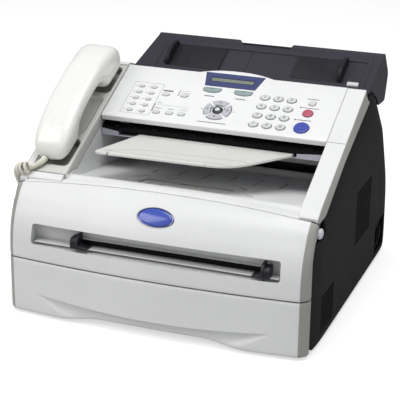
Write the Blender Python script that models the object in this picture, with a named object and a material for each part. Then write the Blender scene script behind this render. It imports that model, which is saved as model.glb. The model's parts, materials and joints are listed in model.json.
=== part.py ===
# Laser fax machine with handset, document feeder, face-down output dish,
# drop-down front cover and a bottom paper cassette.
# Working units are millimetres: x across (centre of the body at 0), y from the
# front corners (0) to the back, z up from the table.  At the end every piece is
# shifted so that the middle of the whole outline stands at the origin.
import bpy
import bmesh
from math import radians, sin, cos, pi
from mathutils import Vector

# ---------------------------------------------------------------- dimensions
MM = 0.001
HALF_W = 185.0            # half width over the dark side covers
BACK = 352.0              # rearmost plane
BOW = 9.1                 # how far the front bulges out at its middle
CORNER = 171.0            # half width where the front corners start to turn
TILT = 25.3               # slope of the panel and rails, degrees
RAIL_Y, RAIL_Z = 33.7, 155.1   # where the sloped plane starts
SEAM_Z = 69.5             # seam between cassette and front cover
CORD_X = -192.5           # outermost reach of the handset cord
PANEL_L, PANEL_R = -124.3, 155.9
PANEL_V0, PANEL_V1 = 120.2, 217.2   # front and rear edge along the slope
PANEL_T = 7.2             # height of the panel's rim
PATH_X = 20.0             # middle of the paper path
GAP = 0.35                # running gap between neighbouring pieces
COVER_AXIS = (-5.6, 73.3)      # front cover hinge (y, z)
REAR_AXIS = (348.6, 79.6)      # rear cover hinge (y, z)
FLOOR_Y, FLOOR_Z, FLOOR_M = 70.0, 151.5, 0.151   # output dish floor
TRAY_Y, TRAY_Z, TRAY_M = 233.5, 240.2, 0.467     # document tray floor
KEY_D = 11.0              # number key diameter
KEY_PX, KEY_PV = 16.4, 16.0    # number key pitch
X_SHIFT = (-CORD_X - HALF_W) / 2.0
Y_SHIFT = -(BACK - BOW) / 2.0

C, S = cos(radians(TILT)), sin(radians(TILT))
NORMAL = Vector((0.0, -S, C))


def vw(v, w):
    """Point on the sloped plane: v up the slope, w above it -> (y, z)."""
    return (RAIL_Y + v * C - w * S, RAIL_Z + v * S + w * C)


def floor_z(y):
    return FLOOR_Z - FLOOR_M * (y - FLOOR_Y)


def tray_z(y):
    return TRAY_Z + TRAY_M * (y - TRAY_Y)


for old in list(bpy.data.objects):
    bpy.data.objects.remove(old, do_unlink=True)


# ------------------------------------------------------------------ materials
def material(name, rgb, rough=0.5, metal=0.0, alpha=1.0):
    m = bpy.data.materials.new(name)
    m.use_nodes = True
    b = m.node_tree.nodes["Principled BSDF"]
    b.inputs["Base Color"].default_value = (rgb[0], rgb[1], rgb[2], 1.0)
    b.inputs["Roughness"].default_value = rough
    b.inputs["Metallic"].default_value = metal
    b.inputs["Alpha"].default_value = alpha
    return m


WHITE = (0.80, 0.80, 0.78)
CHARCOAL = (0.055, 0.05, 0.052)


# ------------------------------------------------------------------ bmesh kit
def close(bm):
    bmesh.ops.remove_doubles(bm, verts=bm.verts, dist=0.0005)
    bmesh.ops.recalc_face_normals(bm, faces=bm.faces)
    return bm


def loft(loops):
    """Closed body through loops of equal length, capped at both ends."""
    bm = bmesh.new()
    rows = [[bm.verts.new(p) for p in loop] for loop in loops]
    n = len(rows[0])
    for a, b in zip(rows, rows[1:]):
        for i in range(n):
            j = (i + 1) % n
            bm.faces.new((a[i], a[j], b[j], b[i]))
    bm.faces.new(list(reversed(rows[0])))
    bm.faces.new(rows[-1])
    return close(bm)


def prism_x(poly, x0, x1):
    return loft([[(x0, y, z) for y, z in poly], [(x1, y, z) for y, z in poly]])


def prism_y(poly, y0, y1):
    return loft([[(x, y0, z) for x, z in poly], [(x, y1, z) for x, z in poly]])


def prism_z(poly, z0, z1):
    return loft([[(x, y, z0) for x, y in poly], [(x, y, z1) for x, y in poly]])


def box(x0, x1, y0, y1, z0, z1):
    return prism_z([(x0, y0), (x1, y0), (x1, y1), (x0, y1)], z0, z1)


def slab(x0, x1, v0, v1, w0, w1):
    """Box lying in the sloped plane."""
    return prism_x([vw(v0, w0), vw(v1, w0), vw(v1, w1), vw(v0, w1)], x0, x1)


def ring(n, r, turn=0.5):
    return [(r * cos(2 * pi * (i + turn) / n), r * sin(2 * pi * (i + turn) / n))
            for i in range(n)]


def rod_x(y, z, r, x0, x1, n=16):
    return prism_x([(y + a, z + b) for a, b in ring(n, r)], x0, x1)


def turned_x(y, z, steps, n=16):
    """Shaft along x: steps are (x, radius) pairs."""
    return loft([[(x, y + a * r, z + b * r) for a, b in ring(n, 1.0)] for x, r in steps])


def soften(bm, width, angle=40.0, segments=1):
    edges = [e for e in bm.edges if len(e.link_faces) == 2
             and e.calc_face_angle(0.0) > radians(angle)]
    bmesh.ops.bevel(bm, geom=edges, offset=width, segments=segments,
                    profile=0.5, affect='EDGES', clamp_overlap=True)
    return close(bm)


def solid(bm, name):
    mesh = bpy.data.meshes.new(name)
    bm.to_mesh(mesh)
    ob = bpy.data.objects.new(name, mesh)
    bpy.context.scene.collection.objects.link(ob)
    return ob


def combine(a, b, how):
    """EXACT Boolean of two closed bodies; both are used up."""
    for bm in (a, b):
        bmesh.ops.triangulate(bm, faces=bm.faces)
    oa, ob = solid(a, "body_a"), solid(b, "body_b")
    mod = oa.modifiers.new("cut", 'BOOLEAN')
    mod.operation = how
    mod.solver = 'EXACT'
    mod.object = ob
    deps = bpy.context.evaluated_depsgraph_get()
    mesh = bpy.data.meshes.new_from_object(oa.evaluated_get(deps))
    out = bmesh.new()
    out.from_mesh(mesh)
    bpy.data.objects.remove(oa, do_unlink=True)
    bpy.data.objects.remove(ob, do_unlink=True)
    bpy.data.meshes.remove(mesh)
    a.free()
    b.free()
    raw = out.copy()
    bmesh.ops.dissolve_limit(out, angle_limit=radians(0.05), verts=out.verts,
                             edges=out.edges, delimit={'NORMAL'})
    close(out)
    if all(len(e.link_faces) == 2 for e in out.edges):
        raw.free()
        return out
    # merging flat neighbours opened the surface: keep the unmerged faces
    out.free()
    bmesh.ops.recalc_face_normals(raw, faces=raw.faces)
    return raw


def minus(a, *cutters):
    for c in cutters:
        a = combine(a, c, 'DIFFERENCE')
    return a


def plus(a, *others):
    for c in others:
        a = combine(a, c, 'UNION')
    return a


def common(a, b):
    return combine(a, b, 'INTERSECT')


def piece(name, bm, mat, origin=(0.0, 0.0, 0.0), tilt=0.0, smooth=None):
    """Named sub-part with its origin at the given machine point (mm)."""
    o = Vector(origin)
    ct, st = cos(radians(tilt)), sin(radians(tilt))
    for v in bm.verts:
        d = v.co - o
        v.co = Vector((d.x, d.y * ct + d.z * st, -d.y * st + d.z * ct)) * MM
    ob = solid(bm, name)
    ob.data.name = name
    bm.free()
    ob.location = Vector((o.x + X_SHIFT, o.y + Y_SHIFT, o.z)) * MM
    ob.rotation_euler = (radians(tilt), 0.0, 0.0)
    ob.data.materials.append(mat)
    if smooth:
        ob.data.shade_smooth()
        ob.data.set_sharp_from_angle(angle=radians(smooth))
    return ob


# -------------------------------------------------------- plan of the front
def bulge(x):
    return max(0.0, 1.0 - (x / CORNER) ** 2)


def plan(x):
    a = abs(x)
    if a <= CORNER:
        return -BOW * bulge(x)
    return {176.6: 1.6, 179.4: 4.8, 180.0: 8.5}[a]


STATIONS = [-180.0, -179.4, -176.6, -171.0, -128.0, -86.0, -43.0, 0.0,
            43.0, 86.0, 128.0, 171.0, 176.6, 179.4, 180.0]


def seam(x):
    """Rear top edge of the front cover: (y, z)."""
    b = bulge(x)
    return (33.4 + 8.8 * b, 151.5 + 5.6 * b)


# ------------------------------------------------------------- front cover
def cover_loop(x):
    b, p = bulge(x), plan(x)
    ys, zs = seam(x)
    out = [(p + 1.2, 69.9), (p, 71.6), (p + 0.3, 85.0), (p + 2.0, 100.0),
           (p + 5.0, 112.0), (p + 9.0, 122.0), (p + 14.5, 131.5),
           (p * 0.9 + 21.0, 141.4), (p * 0.6 + 27.0, 147.0 + 1.6 * b)]
    if abs(x) > CORNER:
        back = 16.2
        out = [(min(y, 26.2), z) for y, z in out]
        out.append((26.4, 147.2))
        inner = [(26.5, 146.8), (26.3, 141.0), (26.1, 134.0), (25.6, 131.0),
                 (20.2, 122.4), (18.0, 116.3), (back, 110.5), (back, 85.0),
                 (back, 71.6), (back, 69.9)]
    else:
        out.append((ys, zs))
        inner = [(ys, zs - 3.0), (out[8][0] + 2.0, out[8][1] - 2.6),
                 (out[7][0] + 2.4, out[7][1] - 1.9), (out[6][0] + 2.8, out[6][1] - 1.3),
                 (out[5][0] + 3.0, out[5][1] - 0.8), (out[4][0] + 3.0, out[4][1] - 0.3),
                 (out[3][0] + 3.0, out[3][1]), (out[2][0] + 3.0, out[2][1]),
                 (out[1][0] + 3.0, out[1][1]), (out[1][0] + 3.0, 69.9)]
    return [(x, y, z) for y, z in out + inner]


def front_cover():
    bm = loft([cover_loop(x) for x in STATIONS])
    # box-shaped recess of the manual feed slot, let into the bowed skin
    skin = []
    for i in range(14):
        x = -152.0 + 304.0 * i / 13.0
        p = plan(x)
        skin.append([(x, p + 0.6, 85.0), (x, p + 2.3, 100.0), (x, p + 5.3, 112.0),
                     (x, p + 9.3, 122.0), (x, 17.0, 122.0), (x, 17.0, 85.0)])
    pocket = common(box(-149.0, 151.0, -20.0, 15.5, 89.0, 118.5), loft(skin))
    bm = plus(bm, pocket)
    return minus(bm, box(-146.0, 148.0, -20.0, 13.0, 91.8, 115.8),
                 box(PATH_X - 112.0, PATH_X + 112.0, 10.0, 20.0, 97.0, 101.0))


piece("front_cover", front_cover(), material("front_cover", WHITE, 0.42),
      origin=(0.0, COVER_AXIS[0], COVER_AXIS[1]), smooth=30)

# paper guides of the manual feed slot: an upright cheek with a low toe
def manual_guide(side):
    edge = PATH_X + side * 108.0
    cheek = [(-3.4, 92.2), (12.4, 92.2), (12.4, 106.8), (1.0, 106.8), (-3.4, 103.0)]
    xs = sorted((edge, edge + side * 14.0))
    toe = sorted((edge - side * 14.6, edge + side * 1.0))
    return plus(prism_x(cheek, *xs),
                prism_x([(-2.4, 92.2), (12.4, 92.2), (12.4, 96.2), (-2.4, 96.2)], *toe))


for side, word in ((-1, "left"), (1, "right")):
    piece("manual_guide_" + word, manual_guide(side),
          material("manual_guide_" + word, (0.03, 0.03, 0.035), 0.45),
          origin=(PATH_X + side * 108.0, 4.5, 92.2))


# ----------------------------------------------------------------- cassette
def grip_z(x):
    return 21.0 + 11.0 * min(1.0, (x / 168.0) ** 2)


def cassette_loop(x, inner=0.0):
    p, a = plan(x), abs(x)
    g = grip_z(x)
    d = 5.5 * max(0.0, 1.0 - (a / 150.0) ** 2) ** 0.5 if a < 150.0 else 0.0
    low = 9.0 if a <= 86.0 else 4.0
    if a > CORNER:
        return [(x, p + 1.0, 4.2), (x, p, 8.0), (x, p, g - 1.5), (x, p, g), (x, p, 60.0),
                (x, p, 68.0), (x, p + 1.0, 69.2), (x, 16.2, 69.2), (x, 16.2, 4.2)]
    return [(x, p + d + 1.0, low), (x, p + d, low + 3.0), (x, p + d, g - 1.5), (x, p, g),
            (x, p, 60.0), (x, p, 68.0), (x, p + 1.0, 69.2), (x, 9.6, 69.2), (x, 9.6, low)]


def cassette_front():
    xs = [-180.0, -179.4, -176.6, -171.0, -150.0, -128.0, -86.5, -86.0, -43.0, 0.0,
          43.0, 86.0, 86.5, 128.0, 150.0, 171.0, 176.6, 179.4, 180.0]
    bm = loft([cassette_loop(x) for x in xs])
    # hollow behind the panel, closed in front and open to the rear
    inner = []
    for x in (-167.0, -128.0, -86.0, -43.0, 0.0, 43.0, 86.0, 128.0, 167.0):
        y = plan(x) + 3.0
        inner.append([(x, max(y, plan(x) + 9.0), 13.0), (x, max(y, plan(x) + 9.0), grip_z(x) + 1.0),
                      (x, y, grip_z(x) + 4.5), (x, y, 66.0), (x, 12.0, 66.0), (x, 12.0, 13.0)])
    return minus(bm, loft(inner))


piece("cassette_front", cassette_front(), material("cassette_front", WHITE, 0.42),
      origin=(0.0, 9.6, 36.0), smooth=30)


def cassette_tray():
    bm = box(-150.0, 150.0, 10.0, 318.0, 6.0, 60.0)
    bm = minus(bm, box(-147.4, 147.4, 12.6, 315.4, 8.4, 62.0))
    return plus(bm, box(-165.0, 165.0, 10.0, 12.6, 13.5, 62.0),
                box(-112.0, -110.0, 60.0, 230.0, 8.0, 40.0),
                box(110.0, 112.0, 60.0, 230.0, 8.0, 40.0),
                box(-40.0, 40.0, 296.0, 298.0, 8.0, 40.0))


piece("cassette_tray", cassette_tray(), material("cassette_tray", (0.08, 0.08, 0.085), 0.55),
      origin=(0.0, 155.0, 6.0))

LIFT_Y, LIFT_Z = 236.0, 9.6
piece("lift_plate", plus(box(-105.0, 105.0, 46.0, 236.0, 9.0, 10.2),
                         rod_x(LIFT_Y, LIFT_Z, 1.0, -105.0, 105.0, 8)),
      material("lift_plate", (0.55, 0.56, 0.58), 0.35, 1.0),
      origin=(0.0, LIFT_Y, LIFT_Z))

# ------------------------------------------------------------------- chassis
SIDE_TOP = [(50.5, 152.2), (121.0, 188.9), (229.5, 231.9), (250.0, 236.5), (274.0, 223.0),
            (287.0, 210.0), (314.0, 182.0), (346.0, 119.0), (352.0, 76.0), (350.0, 10.0)]


def chassis():
    wall = [(22.0, 3.2), (22.0, 66.0), (30.0, 138.0), (72.0, 144.6), (215.0, 122.8),
            (231.5, 122.8), (231.5, 222.0), (262.0, 226.0), (284.0, 205.0), (310.0, 179.0),
            (341.0, 118.0), (346.5, 76.0), (346.5, 3.2)]
    left, right = prism_x(wall, -161.0, -158.0), prism_x(wall, 158.0, 161.0)
    bm = plus(box(-160.0, 160.0, 105.0, 345.0, 70.0, 73.0), left, right,
              box(-160.0, 160.0, 343.5, 346.5, 3.2, 74.0),
              box(-160.0, 160.0, 31.0, 35.0, 132.0, 138.0))
    for sx in (-1, 1):
        a, b = sorted((sx * 152.2, sx * 171.6))
        strip = [(346.5, 3.2), (351.2, 10.0), (351.6, 76.0), (345.6, 119.0), (313.4, 181.4),
                 (309.6, 181.4), (341.0, 118.0), (346.0, 76.0)]
        bm = plus(bm, prism_x(strip, a, b))
        for y in (28.0, 300.0):
            bm = plus(bm, box(a, b, y, y + 36.0, 3.0, 6.0))
            cx = (a + b) / 2
            bm = plus(bm, prism_z([(cx + p, y + 18.0 + q) for p, q in ring(12, 7.5)], 0.0, 4.0))
    # panel closing the back above the rear cover
    return plus(bm, prism_x([(286.0, 207.0), (288.2, 209.0), (313.4, 182.2), (310.5, 180.4)],
                            -171.6, 171.6))


piece("chassis_frame", chassis(), material("chassis_frame", (0.07, 0.068, 0.07), 0.55))

# dark side covers: bulged pans open towards the chassis
SIDE = [(24.0, 4.6), (16.8, 12.0), (16.8, 110.0), (18.8, 116.0), (21.2, 121.8), (27.2, 130.0), (44.0, 131.6),
        (50.5, 136.0)] + SIDE_TOP + [(344.0, 4.6)]
SIDE_IN = [(27.0, 7.2), (19.4, 13.0), (19.4, 109.6), (21.4, 115.4), (23.6, 120.8), (28.4, 127.5), (46.0, 129.2),
           (53.2, 134.0), (53.2, 150.5), (122.0, 186.0), (230.0, 229.0), (249.0, 233.2),
           (272.0, 221.0), (285.0, 208.0), (311.6, 180.6), (343.4, 118.0), (349.3, 76.0),
           (347.4, 11.0), (342.5, 7.2)]


def side_shape(sx, inset):
    pts = [(172.3, 10.0), (180.2 - inset, 10.0), (180.4 - inset, 17.0), (182.6 - inset, 30.0),
           (184.2 - inset, 52.0), (185.0 - inset, 85.0), (185.0 - inset, 300.0),
           (183.6 - inset, 355.0), (172.3, 355.0)]
    if inset:
        pts = [(171.0, 10.0)] + pts[1:-1] + [(171.0, 355.0)]
    pts = [(sx * x, y) for x, y in pts]
    return prism_z(pts, -5.0, 260.0)


def vent(sx, y0, y1, z0, z1, count, slope):
    """Row of leaning slots through the skin."""
    step = (z1 - z0) / count
    bm = bmesh.new()
    for i in range(count):
        z = z0 + i * step
        a, b = sorted((sx * 181.0, sx * 187.0))
        poly = [(y0, z), (y1, z + slope), (y1, z + slope + step * 0.48), (y0, z + step * 0.48)]
        part = prism_x(poly, a, b)
        mesh = bpy.data.meshes.new("slot")
        part.to_mesh(mesh)
        bm.from_mesh(mesh)
        bpy.data.meshes.remove(mesh)
        part.free()
    return bm


def side_cover(sx):
    a, b = sorted((sx * 172.3, sx * 190.0))
    outer = common(prism_x(SIDE, a, b), side_shape(sx, 0.0))
    a, b = sorted((sx * 171.0, sx * 190.0))
    inner = common(prism_x(SIDE_IN, a, b), side_shape(sx, 2.5))
    bm = minus(outer, inner)
    bm = minus(bm, vent(sx, 184.0, 256.0, 68.0, 112.0, 10, 26.0),
               vent(sx, 44.0, 92.0, 18.0, 48.0, 7, 16.0))
    if sx > 0:
        # bay at the rear for the mains inlet
        bm = minus(bm, box(176.0, 190.0, 292.0, 342.0, 12.0, 56.0))
    else:
        # opening for the handset plug
        bm = minus(bm, box(-190.0, -176.0, 62.0, 76.0, 96.0, 108.0))
    return bm


piece("left_side_cover", side_cover(-1), material("left_side_cover", CHARCOAL, 0.6), smooth=25)
piece("right_side_cover", side_cover(1), material("right_side_cover", CHARCOAL, 0.6), smooth=25)

# ------------------------------------------------------------------ top cover
RAIL_TOP = [(36.2, 153.2), (44.0, 159.6), vw(215.6, 0.0)]
RAIL_LOW = [(229.5, 232.4), (121.0, 189.4), (60.0, 157.6), (50.2, 152.6), (36.2, 146.9)]


def lip_loop(x):
    ys, zs = seam(min(abs(x), CORNER))
    ys += GAP
    top = [(ys, zs), (50.0, zs + 1.9), (58.0, 157.6 + 1.2 * bulge(min(abs(x), CORNER))),
           (65.0, 154.4), (72.0, floor_z(72.0)), (226.0, floor_z(226.0))]
    low = [(226.0, floor_z(226.0) - 3.0), (73.0, floor_z(73.0) - 3.0), (63.0, 151.0),
           (56.0, 154.4), (50.0, zs - 1.6), (ys, zs - 3.0)]
    return [(x, y, z) for y, z in top + low]


def top_cover():
    bm = loft([lip_loop(x) for x in (-171.7, -150.0, -128.0, -86.0, -43.0, 0.0,
                                     43.0, 86.0, 128.0, 150.0, 158.0)])
    rail = prism_x(RAIL_TOP + RAIL_LOW, 156.4, 178.5)
    rail = minus(rail, prism_x([(46.0, 130.0), (46.0, 158.0), vw(213.0, -2.8), (227.0, 200.0)],
                               159.0, 176.0))
    bm = plus(bm, rail)
    # sloping right flank of the dish, down from the rail to the floor
    flank = []
    for y, foot in ((52.0, 152.0), (70.0, 147.0), (100.0, 142.0), (140.6, 142.0)):
        top = RAIL_Z + (y - RAIL_Y) * S / C - 0.4
        low = max(floor_z(max(y, 72.0)) - 1.5, 0.0)
        flank.append([(158.8, y, low), (158.8, y, top - 0.2), (157.0, y, top - 0.2),
                      ((foot + 157.0) / 2 + 2.0, y, (low + top) / 2), (foot, y, low + 1.6),
                      (foot, y, low)])
    bm = plus(bm, loft(flank))
    bm = plus(bm, prism_x([(138.0, 140.0), (138.0, 203.0), vw(215.0, -2.0), (229.0, 127.5),
                           (224.0, 126.0)], 156.3, 159.0))
    # trough for the handset cradle on the left
    side = [(36.2, 146.9), (36.2, 153.2), (44.0, 159.6), vw(215.6, 0.0), (229.5, 232.4),
            (121.0, 189.4), (60.0, 157.6), (50.2, 152.6)]
    left = prism_x(side, -178.5, -169.5)
    left = minus(left, prism_x([(46.0, 130.0), (46.0, 158.0), vw(213.0, -2.8), (227.0, 200.0)],
                               -176.0, -171.8))
    bm = plus(bm, left)
    bm = plus(bm, prism_x([vw(12.8, -17.5), vw(215.3, -17.5), vw(215.3, -1.0), vw(12.8, -1.0)],
                          -171.9, -169.6))
    bm = plus(bm, prism_x([vw(12.3, -17.7), vw(215.4, -17.7), vw(215.4, -15.2), vw(12.3, -15.2)],
                          -171.8, -125.05))
    bm = plus(bm, prism_x([(38.4, 150.6), (38.6, 154.9), (44.0, 159.4), vw(13.6, -0.3),
                           vw(13.6, -16.0), (46.0, 146.4)], -172.2, -127.1))
    bm = plus(bm, prism_x([(64.0, 152.2), vw(215.5, -15.7), (229.4, 127.5),
                           (224.0, 125.8), (72.0, 149.0)], -127.6, -124.9))
    # wall behind the dish with the paper exit
    bm = plus(bm, box(-126.1, 157.6, 225.2, 228.6, 125.7, 176.0))
    bm = minus(bm, box(PATH_X - 110.0, PATH_X + 110.0, 220.0, 232.0, 136.0, 148.0))
    # rear deck left of the document tray
    bm = plus(bm, prism_x([(228.9, 246.0), vw(215.2, 0.0), (236.0, 248.4), (252.0, 241.2),
                           (276.6, 227.4), (290.4, 213.6), (288.4, 211.6), (275.0, 224.2),
                           (250.6, 237.8), (234.5, 244.4)], -178.35, -125.2))
    bm = plus(bm, prism_x([vw(213.9, -16.5), vw(213.9, -0.6), vw(215.9, -0.6), vw(215.9, -16.5)],
                          -171.6, -125.3))
    # cheeks closing the gap between front cover and rails
    cheek = [(27.0, 131.4), (27.0, 146.0), (36.0, 147.4), (49.8, 153.1), (50.0, 150.0),
             (50.0, 136.4), (43.8, 132.0)]
    for sx in (-1, 1):
        a, b = sorted((sx * 176.8, sx * 178.4))
        bm = plus(bm, prism_x(cheek, a, b))
    # the trough itself
    bm = minus(bm, slab(-169.5, -124.7, 13.7, 213.8, -15.1, 12.0))
    bm = minus(bm, prism_x([(30.0, 134.0), (38.6, 133.6), (41.0, 136.0), (40.0, 141.6),
                            (31.4, 142.0)], 174.0, 182.0))
    # recess for the flap that folds out of the dish floor
    bm = plus(bm, prism_x([(73.5, floor_z(73.5) - 1.0), (113.0, floor_z(113.0) - 1.0),
                           (113.0, floor_z(113.0) - 5.6), (73.5, floor_z(73.5) - 5.6)],
                          -53.0, 61.0))
    return minus(bm, prism_x([(76.8, floor_z(76.8) + 3.0), (109.2, floor_z(109.2) + 3.0),
                              (109.2, floor_z(109.2) - 3.6), (76.8, floor_z(76.8) - 3.6)],
                             -50.0, 58.0))


piece("top_cover", top_cover(), material("top_cover", WHITE, 0.42), smooth=25)

BTN = [(30.4, 134.4), (38.4, 134.0), (40.5, 136.1), (39.6, 141.2), (31.7, 141.6)]
piece("cover_release_button", soften(prism_x(BTN, 170.0, 180.8), 0.7, 40.0),
      material("cover_release_button", (0.74, 0.74, 0.73), 0.4), origin=(180.8, 35.5, 137.8))

FLAP_Y = 79.0
FLAP_Z = floor_z(FLAP_Y) - 1.45


def output_flap():
    f = floor_z
    plate = prism_x([(77.9, f(77.9) - 0.3), (108.6, f(108.6) - 0.3), (108.6, f(108.6) - 2.7),
                     (77.9, f(77.9) - 2.7)], -49.4, 57.4)
    return minus(plate, box(-8.0, 16.0, 104.0, 110.0, 140.0, 152.0))


piece("output_flap", output_flap(), material("output_flap", (0.70, 0.70, 0.68), 0.45),
      origin=(4.0, FLAP_Y, FLAP_Z))

# ------------------------------------------------------- handset and cradle
HX = -151.2      # middle of the handset


def cradle():
    bm = slab(-169.2, -125.2, 14.2, 213.4, -14.9, 0.0)
    bm = minus(bm, slab(-165.6, -134.0, 36.0, 64.0, -9.0, 1.0),
               slab(-165.6, -134.0, 168.0, 204.0, -9.0, 1.0))
    # well for the hook plunger
    return minus(bm, slab(-157.0, -148.0, 183.0, 192.0, -20.0, -5.0))


piece("handset_cradle", cradle(), material("handset_cradle", (0.72, 0.72, 0.70), 0.45))

HOOK_O = vw(187.5, -9.0)
piece("hook_switch", slab(-156.4, -148.6, 183.6, 191.4, -13.6, 0.05),
      material("hook_switch", (0.75, 0.75, 0.74), 0.4),
      origin=(-152.5, HOOK_O[0], HOOK_O[1]), tilt=TILT)


def handset():
    # (v, top w, bottom w, half width) down the length, mouth end first
    spec = [(31.6, 13.0, 3.0, 17.0), (33.0, 19.0, 1.6, 20.5), (38.0, 25.0, 0.4, 23.0),
            (52.0, 32.5, 0.4, 24.2), (66.0, 37.0, 0.4, 23.4), (72.0, 38.6, 6.0, 22.8),
            (80.0, 40.3, 16.0, 22.2), (98.0, 43.2, 21.5, 21.4), (125.0, 45.0, 23.6, 21.0),
            (148.0, 45.2, 21.5, 21.6), (158.0, 44.8, 15.0, 22.4), (163.0, 44.4, 5.0, 23.2),
            (168.0, 44.0, 0.4, 24.0), (184.0, 42.2, 0.4, 24.4), (198.0, 37.0, 0.4, 23.6),
            (205.5, 28.0, 2.0, 21.0), (207.5, 20.0, 8.0, 17.0)]
    loops = []
    for v, t, b, h in spec:
        r = min(5.5, (t - b) * 0.3)
        pts = [(-h + r * 0.8, b), (h - r * 0.8, b), (h, b + r), (h, t - r * 1.8),
               (h - r * 1.4, t - 0.2), (-h + r * 1.4, t - 0.2), (-h, t - r * 1.8), (-h, b + r)]
        loops.append([(HX + x,) + vw(v, w) for x, w in pts])
    return loft(loops)


HS_O = vw(120.0, 20.0)
piece("handset", handset(), material("handset", (0.82, 0.82, 0.78), 0.3),
      origin=(HX, HS_O[0], HS_O[1]), smooth=40)


def tube(points, r, n=8, turn=0.5):
    """Round cord swept through the points."""
    pts = [Vector(p) for p in points]
    loops = []
    up = Vector((0.3, 0.2, 1.0))
    side = None
    for i, p in enumerate(pts):
        t = (pts[min(i + 1, len(pts) - 1)] - pts[max(i - 1, 0)]).normalized()
        if side is None:
            side = t.cross(up).normalized()
        side = (side - t * side.dot(t)).normalized()
        other = t.cross(side)
        loops.append([tuple(p + side * (r * a) + other * (r * b)) for a, b in ring(n, 1.0)])
    return loft(loops)


CORD_R = 4.0
CORD = [(-153.0, 57.6, 175.0), (-155.0, 50.0, 170.6), (-160.0, 42.0, 166.6), (-168.5, 34.5, 163.8),
        (-177.5, 32.0, 160.0), (-184.4, 36.0, 153.0), (-187.6, 42.0, 144.0),
        (CORD_X + CORD_R, 50.0, 130.0), (CORD_X + CORD_R, 58.0, 116.0),
        (-188.4, 63.4, 107.4), (-186.4, 67.8, 103.0), (-182.0, 69.0, 102.0), (-177.0, 69.0, 102.0)]
piece("handset_cord", tube(CORD, CORD_R), material("handset_cord", (0.78, 0.78, 0.72), 0.5),
      smooth=60)


# ------------------------------------------------------ document scanner unit
def scanner_frame():
    top = [vw((145.0 - RAIL_Y) / C - 7.4, -15.5), vw(214.0, -15.5)]
    poly = [(145.2, 181.2), (145.2, 190.4), (148.0, 192.2), vw(213.6, -15.5), (230.6, 181.2)]
    bm = prism_x(poly, -124.2, 155.8)
    bm = minus(bm, box(-102.4, 120.4, 140.0, 224.0, 182.6, 186.8))
    bm = minus(bm, prism_x([(196.0, 190.2), (196.0, 206.0), vw(205.0, -21.0), (240.0, 226.0),
                            (240.0, 190.2)], -112.0, 146.0))
    # seat of the feed roller
    return minus(bm, prism_x([vw(160.0, -24.2), vw(160.0, -12.0), vw(176.0, -12.0),
                              vw(176.0, -24.2)], -62.0, 102.0))


piece("scanner_frame", scanner_frame(), material("scanner_frame", (0.42, 0.41, 0.46), 0.5))

ADF_O = vw(168.0, -16.8)
piece("adf_roller", turned_x(ADF_O[0], ADF_O[1], [(-61.0, 3.0), (-50.0, 3.0), (-50.0, 6.4),
                                                   (90.0, 6.4), (90.0, 3.0), (101.0, 3.0)], 14),
      material("adf_roller", (0.05, 0.05, 0.055), 0.8),
      origin=(PATH_X, ADF_O[0], ADF_O[1]), smooth=40)

SUP = [(-75.7, 143.4), (-98.7, 71.0), (-96.0, 67.6), (-92.0, 66.6), (40.0, 70.4), (58.0, 74.0),
       (74.0, 85.0), (116.2, 143.4)]


def document_support():
    bm = prism_z(SUP + [(116.2, 149.0), (-75.7, 149.0)], 183.0, 186.2)
    return soften(bm, 0.5, 60.0)


piece("document_support", document_support(), material("document_support", (0.66, 0.67, 0.64), 0.5),
      origin=(PATH_X, 143.0, 184.6))


def tray_prism(inset):
    if not inset:
        poly = [(TRAY_Y, TRAY_Z), (300.5, 271.5), (303.5, 273.8), (306.2, 272.4), (323.4, 247.0),
                (314.8, 214.6), (309.0, 213.0), (289.0, 213.4), (276.0, 226.4), (251.4, 240.2),
                (246.0, 240.0)]
        return poly
    return [(243.0, 238.0), (243.0, tray_z(243.0) - 3.6), (298.6, tray_z(298.6) - 3.6),
            (304.4, 263.0), (319.4, 246.6), (311.2, 214.0), (311.2, 200.0), (243.0, 200.0)]


def tray_side(x_low, x_high, far):
    """Wedge that trims a slanted end: from x_low at the front to x_high at the top edge."""
    return prism_z([(x_low, 233.0), (x_high, 306.0), (x_high + (x_high - x_low) * 0.3, 330.0),
                    (far, 330.0), (far, 225.0), (x_low - (x_high - x_low) * 0.1, 225.0)],
                   190.0, 290.0)


def document_tray():
    outer = prism_x(tray_prism(False), -124.4, 177.6)
    outer = minus(outer, tray_side(-124.4, -112.0, -160.0), tray_side(177.6, 169.0, 210.0))
    inner = prism_x(tray_prism(True), -121.4, 174.6)
    inner = minus(inner, tray_side(-121.4, -109.0, -160.0), tray_side(174.6, 166.0, 210.0))
    bm = minus(outer, inner)
    # recess the side guides run in, and the finger notch in the top edge
    lip = 1.8
    bm = minus(bm, prism_x([(248.5, tray_z(248.5) - lip), (248.5, tray_z(248.5) + 9.0),
                            (287.5, tray_z(287.5) + 9.0), (287.5, tray_z(287.5) - lip)],
                           -88.0, 166.0))
    return minus(bm, prism_y([(0.0, 268.6), (62.0, 268.6), (68.0, 280.0), (-6.0, 280.0)],
                             298.5, 330.0))


piece("document_tray", document_tray(), material("document_tray", (0.062, 0.06, 0.072), 0.55))


def adf_guide(side):
    fence = PATH_X + 9.0 + side * 108.0
    inner = -14.0 if side < 0 else 79.0
    a, b = sorted((fence + side * 5.0, inner))
    y0, y1 = 249.0, 287.0
    base = prism_x([(y0, tray_z(y0) - 1.4), (y0, tray_z(y0) + 0.2), (y1, tray_z(y1) + 0.2),
                    (y1, tray_z(y1) - 1.4)], a, b)
    a, b = sorted((fence, fence + side * 5.0))
    fin = prism_x([(y0, tray_z(y0) - 0.6), (y0 - 1.4, tray_z(y0) + 6.0),
                   (y0 + 3.0, tray_z(y0) + 13.0), (y1 - 9.0, tray_z(y1) + 10.0),
                   (y1 - 2.0, tray_z(y1) + 4.0), (y1, tray_z(y1) - 0.6)], a, b)
    return plus(base, fin)


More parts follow.
